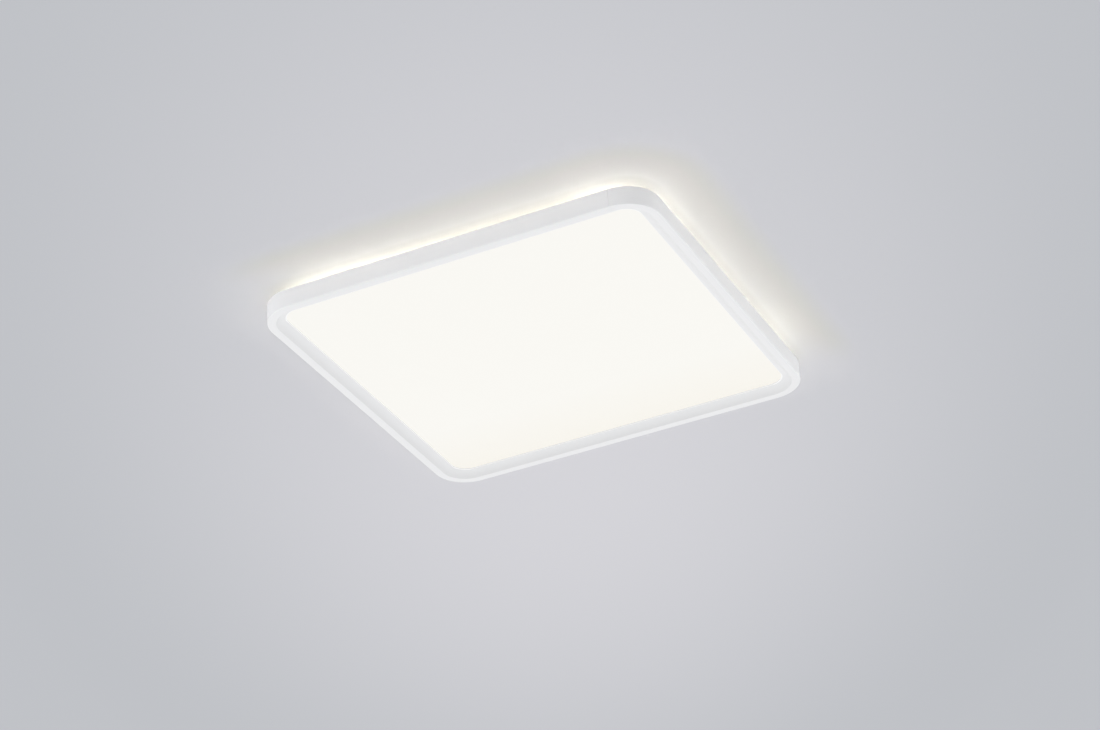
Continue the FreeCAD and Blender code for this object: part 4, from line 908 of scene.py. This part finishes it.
def make_box():
    """An open box with two hinge barrels on gussets, side flutes and holes for the cable and wires."""
    shell = box(-107, -43, 48, 95, BAY_Z, -3.1, 2.4)
    gusset = [(94.9, -9.5), (94.9, -4.3), (97.0, -4.3), (97.0, -4.8)]
    barrels = []
    for side in (-1, 1):
        start = BOX_X + side * 19.3 - 4.0
        barrels += [prism(round_outline(1.5, *HINGE, 24), start, start + 8.0, "x"),
                    box(start, start + 8.0, 94.2, 96.8, -4.9, -4.1)]
        barrels += [prism(gusset, start + x, start + x + 2.0, "x") for x in (1.0, 5.0)]
    flutes = [box(x, x + 1.2, y, y + 2.0, -12.4, -4.2) for x in (-107.9, -43.3)
              for y in (56.0, 60.0, 64.0, 68.0, 72.0, 76.0)]
    cuts = [box(-105.4, -44.6, 49.6, 93.4, -13.1, 0.0, 1.4), rod(4.3, BOX_X, 47.0, -8.1, 3.0, "y"),
            group(rod(1.05, -46.0, y, WIRE_Z, 4.0, "x", 20) for y in (EARTH_Y, *MAINS_Y)),
            rod(PIN_BORE, -107.0, *HINGE, 64.0, "x", 20), group(flutes)]
    moulded("box_shell", "terminal_box", [shell, *barrels], cuts, soft=0.22)
    screws("box_screws", "terminal_box_screws", [(BOX_X - 24.8, 56.6), (BOX_X + 24.8, 56.6)], -13.1, 2.0)
    pin = [(0.35, 0.0), (0.62, 0.12), (0.7, 0.35), (0.7, 46.25), (0.62, 46.48), (0.35, 46.6)]
    shaped("hinge_wire", "lid_hinge_pin", lathe(pin, moved(-98.3, *HINGE), "x", 20))


def make_lid():
    """The lid has a middle hinge barrel, two snap lugs with a grip between them and ribs in its panel."""
    solids = [box(-107, -43, 48, 95, -2.8, -1.6, 2.4)]
    for side in (-1, 1):
        x = BOX_X + side * 20.0
        solids += [box(x - 4, x + 4, 46.5, 52.0, -2.8, -1.6), box(x - 4, x + 4, 46.5, 47.7, -6.8, -1.7)]
    solids += [rod(1.5, -90.0, *HINGE, 30.0, "x", 24), box(-90, -60, 93.4, 96.8, -2.8, -1.9)]
    grips = [box(BOX_X - 9 + i * 3.6, BOX_X - 7.4 + i * 3.6, 47.0, 51.4, -1.95, -1.0) for i in range(5)]
    cuts = [box(-102.5, -47.5, 53.0, 90.5, -2.0, -1.0, 2.0),
            rod(PIN_BORE, -92.0, *HINGE, 34.0, "x", 20), group(grips)]
    ribs = [box(-98.0 + i * 11.6, -96.6 + i * 11.6, 58.0, 85.5, -2.2, -1.62, 0.6) for i in range(5)]
    moulded("lid_shell", "terminal_lid", solids, cuts, soft=0.2, extras=ribs)


def make_block():
    """The block has a funnel and a wire hole for each pole; the buttons press down beside them."""
    wells = group(box(x - 2.6, x + 2.6, 67.9, 74.1, -11.3, -3.0) for x in POLES)
    grooves = group(box(x - 0.4, x + 0.4, 61.0, 81.0, -5.2, -4.0) for x in (-81.5, -68.5))
    probes = group(rod(0.9, x, 64.9, -6.0, 3.0, "z", 16) for x in POLES)
    funnel = [(2.5, 61.4), (2.3, 62.0), (1.6, 63.4), (1.6, 67.0)]
    cuts = [wells]
    for x in POLES:
        cuts += [lathe(funnel, moved(x, 0, WIRE_Z), "y", 24), rod(1.05, x, 75.0, WIRE_Z, 6.0, "y", 20)]
    cuts += [grooves, probes]
    moulded("block_body", "terminal_block", [box(-98, -52, 62, 80, -13.1, -4.5, 0.8)], cuts, soft=0.18)
    for name, node, x in zip(("brown", "blue", "green"), ("live", "neutral", "earth"), POLES):
        cuts = [rod(3.0, x, 67.0, -1.0, 8.0, "y", 32), box(x - 1.4, x + 1.4, 70.6, 71.4, -4.6, -3.0)]
        body = box(x - 2.3, x + 2.3, 68.2, 73.8, -9.0, -3.6, 0.5)
        moulded(name + "_button", node + "_button", [body], cuts, soft=0.16)


def make_inlet():
    """A grooved bush in the box's wall, and a clamp bar with teeth over the cable's way."""
    profile = [(3.5, 47.1), (3.8, 46.8), (4.6, 46.8), (4.95, 47.15), (4.95, 47.7), (4.6, 48.0),
               (4.3, 48.15), (4.3, 49.45), (4.6, 49.6), (4.95, 49.9), (4.95, 50.5), (4.6, 50.8),
               (3.8, 50.8), (3.5, 50.5)]
    shaped("inlet_bush", "cable_grommet", lathe(profile, moved(BOX_X, 0, -8.1), "y", 40, looped=True))
    arch = [(-86, -13.1), (-80.5, -13.1), (-80.5, -7.9), (-79.2, -7.3), (-70.8, -7.3), (-69.5, -7.9),
            (-69.5, -13.1), (-64, -13.1), (-64, -5.1), (-86, -5.1)]
    arch = softened(arch, {2: 0.5, 5: 0.5, 8: 1.2, 9: 1.2})
    tooth = ((-78.6, -7.2), (-77.9, -7.8), (-77.2, -7.2))
    teeth = [prism([(x + i * 1.8, z) for x, z in tooth], 54.2, 59.0, "y") for i in range(4)]
    moulded("clamp_bar", "cable_clamp", [prism(arch, 53.6, 59.6, "y")], soft=0.3, extras=teeth)
    screws("bar_screws", "clamp_screws", [(BOX_X - 8.25, 56.6), (BOX_X + 8.25, 56.6)], -5.1, 9.2)


# ---- driver

def make_driver():
    """The driver's tray has a screwed ear at each end, fluted sides and holes for the leads; its cover
    has a raised rim, vents and four pips."""
    solids = [box(-20, 130, 58, 100, BAY_Z, -4.2, 2.6)]
    solids += [box(x, x + 12, 73, 85, BAY_Z, -12.9, 3.0) for x in (-28, 126)]
    for x, out in ((-20.0, -1), (130.0, 1)):
        gusset = [(x - out, -13.2), (x - out, -7.5), (x + out * 0.2, -7.5), (x + out * 4.5, -13.2)]
        solids += [prism(gusset, y, y + 1.2, "y") for y in (73.3, 83.5)]
    flutes = [box(-12 + i * 6.0, -10 + i * 6.0, y, y + 1.5, -12.6, -5.4)
              for y in (57.0, 99.5) for i in range(22)]
    cuts = [box(-18.4, 128.4, 59.6, 98.4, -12.9, -3.0, 1.2),
            group(rod(1.05, -22.0, y, WIRE_Z, 4.0, "x", 20) for y in MAINS_Y),
            group(rod(0.75, 128.0, y, WIRE_Z, 4.0, "x", 16) for y in (*FRONT_Y, *REAR_Y)),
            group(flutes)]
    moulded("driver_tray", "driver_case", solids, cuts, soft=0.25)
    screws("tray_screws", "driver_screws", [(-24.0, 79.0), (134.0, 79.0)], -12.9, 2.2)
    vents = [box(x + i * 4.0, x + 1.6 + i * 4.0, y, y + 9.0, -3.9, -2.0, 0.79) for x in (-6.0, 88.0)
             for i in range(8) for y in (67.5, 81.5)]
    pips = [rod(1.3, x, y, -3.6, 2.0, "z", 20) for x in (-17, 127) for y in (61, 97)]
    cuts = [box(-14, 124, 63, 95, -3.3, -2.0, 2.0), group(vents), group(pips)]
    moulded("driver_lid", "driver_cover", [box(-20, 130, 58, 100, -4.2, -2.9, 2.6)], cuts, soft=0.2)


BOARD_Z = -11.1
CHOKE = (75.0, 79.0)
CHOKE_TURNS = 22
CHOKE_ARC = 330 / 360
CHOKE_WIRE = 0.24


def make_board():
    """A board with solder joints and chips, and its transformer, capacitors and wound choke."""
    joints = []
    spots = random.Random(3)
    drop = [(0.9, -11.15), (0.75, -10.9), (0.4, -10.7), (0.15, -10.66)]
    for i in range(26):
        x, y = spots.uniform(-12, 122), spots.choice((64.5, 66.5, 93.5, 95.0))
        joints.append(lathe(drop, moved(x, y, 0), sides=12))
    for x, y in ((-6, 70), (-6, 79), (4, 88), (12, 68), (96, 72), (104, 84), (112, 76), (90, 86)):
        joints += [box(x - 1.6, x + 1.6, y - 0.9, y + 0.9, -11.2, -10.2, 0.2, 2),
                   box(x + 3.0, x + 6.4, y - 1.6, y + 1.6, -11.2, -9.8, 0.3, 2)]
    moulded("circuit_board", "driver_board", [box(-16.4, 126.4, 61.6, 96.4, -12.3, BOARD_Z, 0.8)],
            soft=0.1, segments=1, extras=joints)
    core = [box(46, 64, 74.5, 83.5, BOARD_Z, -4.9), box(46, 50, 71.5, 86.5, BOARD_Z, -5.4),
            box(60, 64, 71.5, 86.5, BOARD_Z, -5.4)]
    winding = prism(outline(4.6, 6.6, 2.2, 55.0, 79.0), -10.6, -4.7)
    moulded("wound_transformer", "driver_transformer", [*core, winding], soft=0.3)
    can = [(2.4, 0.0), (2.9, 0.15), (3.0, 0.5), (3.0, 1.6), (2.72, 2.0), (2.72, 2.3), (3.0, 2.7),
           (3.0, 13.4), (2.85, 13.85), (2.4, 14.0), (2.3, 13.8), (0.4, 13.75)]
    shaped("can_capacitors", "driver_capacitors",
           *[lathe(can, moved(25.0, y, -8.1), "x", 28) for y in (70.0, 79.0, 88.0)])
    core = [(2.65, -10.9), (5.0, -10.9), (5.1, -10.8), (5.1, -6.5), (5.0, -6.4), (2.65, -6.4), (2.6, -6.5),
            (2.6, -10.8)]
    steps = CHOKE_TURNS * 14
    path = []
    for i in range(steps):
        along = 2 * math.pi * i / steps * CHOKE_ARC
        around = CHOKE_TURNS * 2 * math.pi * i / steps
        out = 3.85 + 1.38 * max(-1, min(1, 1.35 * math.cos(around)))
        up = -8.65 + 2.3 * max(-1, min(1, 1.2 * math.sin(around)))
        path.append(Vector((CHOKE[0] + out * math.cos(along), CHOKE[1] + out * math.sin(along), up)))
    rows = []
    for i, spot in enumerate(path):
        ahead = (path[min(i + 1, steps - 1)] - path[max(i - 1, 0)]).normalized()
        side = ahead.cross(Vector((0, 0, 1)) if abs(ahead.z) < 0.9 else Vector((1, 0, 0))).normalized()
        over = ahead.cross(side)
        rows.append([tuple(spot + side * CHOKE_WIRE * math.cos(a) + over * CHOKE_WIRE * math.sin(a))
                     for a in (math.pi * k / 3 for k in range(6))])
    shaped("toroid_choke", "driver_choke", lathe(core, moved(*CHOKE, 0.0), sides=40, looped=True),
           Shape().rows(rows), angle=60.0)


# ---- earth terminal, leads and their holders

STUD = (-31.5, 66.0)
# crest radius, root radius and pitch
THREAD = (1.95, 1.62, 0.5)
NUT_FLATS = 7.0
CRIMP_Z = -12.75


def make_earth():
    """A threaded stud on the back plate, its hexagon nut and the crimped ring of the earth lead."""
    x, y = STUD
    crest, root, pitch = THREAD
    thread = [(1.3, PLATE_Z), (crest, PLATE_Z)]
    for i in range(11):
        thread += [(crest, BAY_Z + 0.2 + i * pitch), (root, BAY_Z + 0.45 + i * pitch)]
    thread += [(crest, -8.75), (1.55, -8.32), (0.5, -8.3)]
    shaped("threaded_stud", "earth_stud", lathe(thread, moved(x, y, 0), sides=28))
    low, high = [corner[2] * 1000 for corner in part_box("earth_nut")[:2]]
    nut = prism(round_outline(NUT_FLATS / 2 / math.cos(math.radians(30)), x, y, 6), low, high)
    moulded("hex_nut", "earth_nut", [nut], [rod(1.98, x, y, low - 1, 6.0)], soft=0.25)
    solids = [rod(4.0, x, y, BAY_Z, 0.8, sides=40),
              box(x - 1.5, x + 1.5, y + 2.5, y + 9.4, BAY_Z, BAY_Z + 0.8),
              rod(1.5, x, y + 4.4, CRIMP_Z, 5.0, "y", 28)]
    cuts = [rod(2.0, x, y, BAY_Z - 1, 3.0), rod(1.05, x, y + 4.3, CRIMP_Z, 5.4, "y", 24),
            prism([(x - 2.4, -10.95), (x, -11.55), (x + 2.4, -10.95)], y + 6.1, y + 7.6, "y")]
    moulded("crimp_ring", "earth_ring", solids, cuts, soft=0.12)


MAINS_WIRE = 2.0
STRIP_WIRE = 1.4
# the leads under the back plate: their height, and the path round the foam
BELOW_Z = -15.9
LOOP_X = 171.5
LOOP_Y = 152.0
STRIP_X = 200.2


def make_leads():
    """Leads clipped and glued along set routes: mains, earth, light strips and backlight."""
    z, low, ends = WIRE_Z, BELOW_Z, STRIP_X
    for name, node, x, y in (("brown_wire", "live_lead", POLES[0], MAINS_Y[1]),
                             ("blue_wire", "neutral_lead", POLES[1], MAINS_Y[0])):
        lead(name, node, [[(x, 75.05, z), (x, 84.0, z), (x + 1.5, y, z - 0.2), (x + 14.0, y, z),
                           (-46.0, y, z), (-36.0, y + 0.5, z - 0.4), (-26.0, y, z), (-18.0, y, z),
                           (-12.4, y, z), (-12.4, y, BOARD_Z)]], MAINS_WIRE)
    x, y = POLES[2], EARTH_Y
    lead("earth_wire", "earth_lead", [[(x, 75.05, z), (x, 82.0, z), (x + 3.0, y, z), (-48.0, y, z),
                                       (-40.0, y, z), (STUD[0], 86.0, -9.6), (STUD[0], 80.4, CRIMP_Z),
                                       (STUD[0], 76.0, CRIMP_Z), (STUD[0], 72.9, CRIMP_Z)]], MAINS_WIRE)
    ways = ([(165.0, FRONT_Y[0]), (ends, FRONT_Y[0])],
            [(164.0, FRONT_Y[1]), (LOOP_X, FRONT_Y[1]), (LOOP_X, 80.0), (LOOP_X, 144.0), (LOOP_X, LOOP_Y),
             (163.0, LOOP_Y), (-163.0, LOOP_Y), (-LOOP_X, LOOP_Y), (-LOOP_X, 144.0), (-LOOP_X, 80.0),
             (-LOOP_X, FRONT_Y[1]), (-180.0, FRONT_Y[1]), (-ends, FRONT_Y[1])])
    for name, y, back, sag, way in zip(("red", "black"), FRONT_Y, REAR_Y, (0.4, -0.3), ways):
        front = [(122.4, y, BOARD_Z), (122.4, y, z), (127.0, y, z), (133.0, y, z), (139.0, y, -11.4),
                 (145.5, y, -13.0), (150.0, y, -13.0), (156.0, y, low), *[(*spot, low) for spot in way]]
        rear = [(122.4, back, BOARD_Z), *[(x, back, z) for x in (122.4, 128.0, 138.0, 146.0, 158.0)],
                (164.0, back + sag, z - 0.3), (170.0, back, z), (175.0, back, z)]
        lead(name + "_wires", name + "_leads", [front, rear], STRIP_WIRE)
    jumper = [(x, -LOOP_Y, low) for x in (ends, 120.0, 0.0, -120.0, -ends)]
    lead("white_wire", "strip_jumper", [jumper], STRIP_WIRE)


def make_holders():
    """The bush in the back plate's lead slot, and a split block that grips the backlight's leads."""
    section = softened([(0, PLATE_Z), (1.5, PLATE_Z), (1.5, -13.8), (0, -13.8)], {2: 0.6, 3: 0.5, 1: 0.2})
    ring("slot_bush", "lead_grommet", section, 9.0, 4.49, stations(9.0, 4.49, 12, 4.5, LEAD_SLOT))
    cuts = []
    for y in REAR_Y:
        mouth = [(y - 0.45, WIRE_Z), (y + 0.45, WIRE_Z), (y + 0.75, -6.0), (y - 0.75, -6.0)]
        cuts += [rod(0.78, 148.0, y, WIRE_Z, 9.0, "x", 20), prism(mouth, 148.0, 157.0, "x")]
    cuts.append(box(147.0, 158.0, 88.2, 93.8, -13.6, -11.4))
    moulded("wire_clip", "lead_clip", [box(148.5, 156.5, 86.5, 95.5, BAY_Z, -6.9, 0.8)], cuts, soft=0.25)


make_camera()
make_stage()
make_world()
make_lights()
for node, made in frame["nodes"].items():
    made.data.materials.clear()
    made.data.materials.append(finishes[SLOT_OF[node]])
make_frame()
make_stack()
make_foam()
make_back_plate()
make_pan()
make_gasket()
make_band()
make_bracket()
make_springs()
make_box()
make_lid()
make_block()
make_inlet()
make_driver()
make_board()
make_earth()
make_leads()
make_holders()
bpy.context.scene.view_settings.view_transform = "Standard"
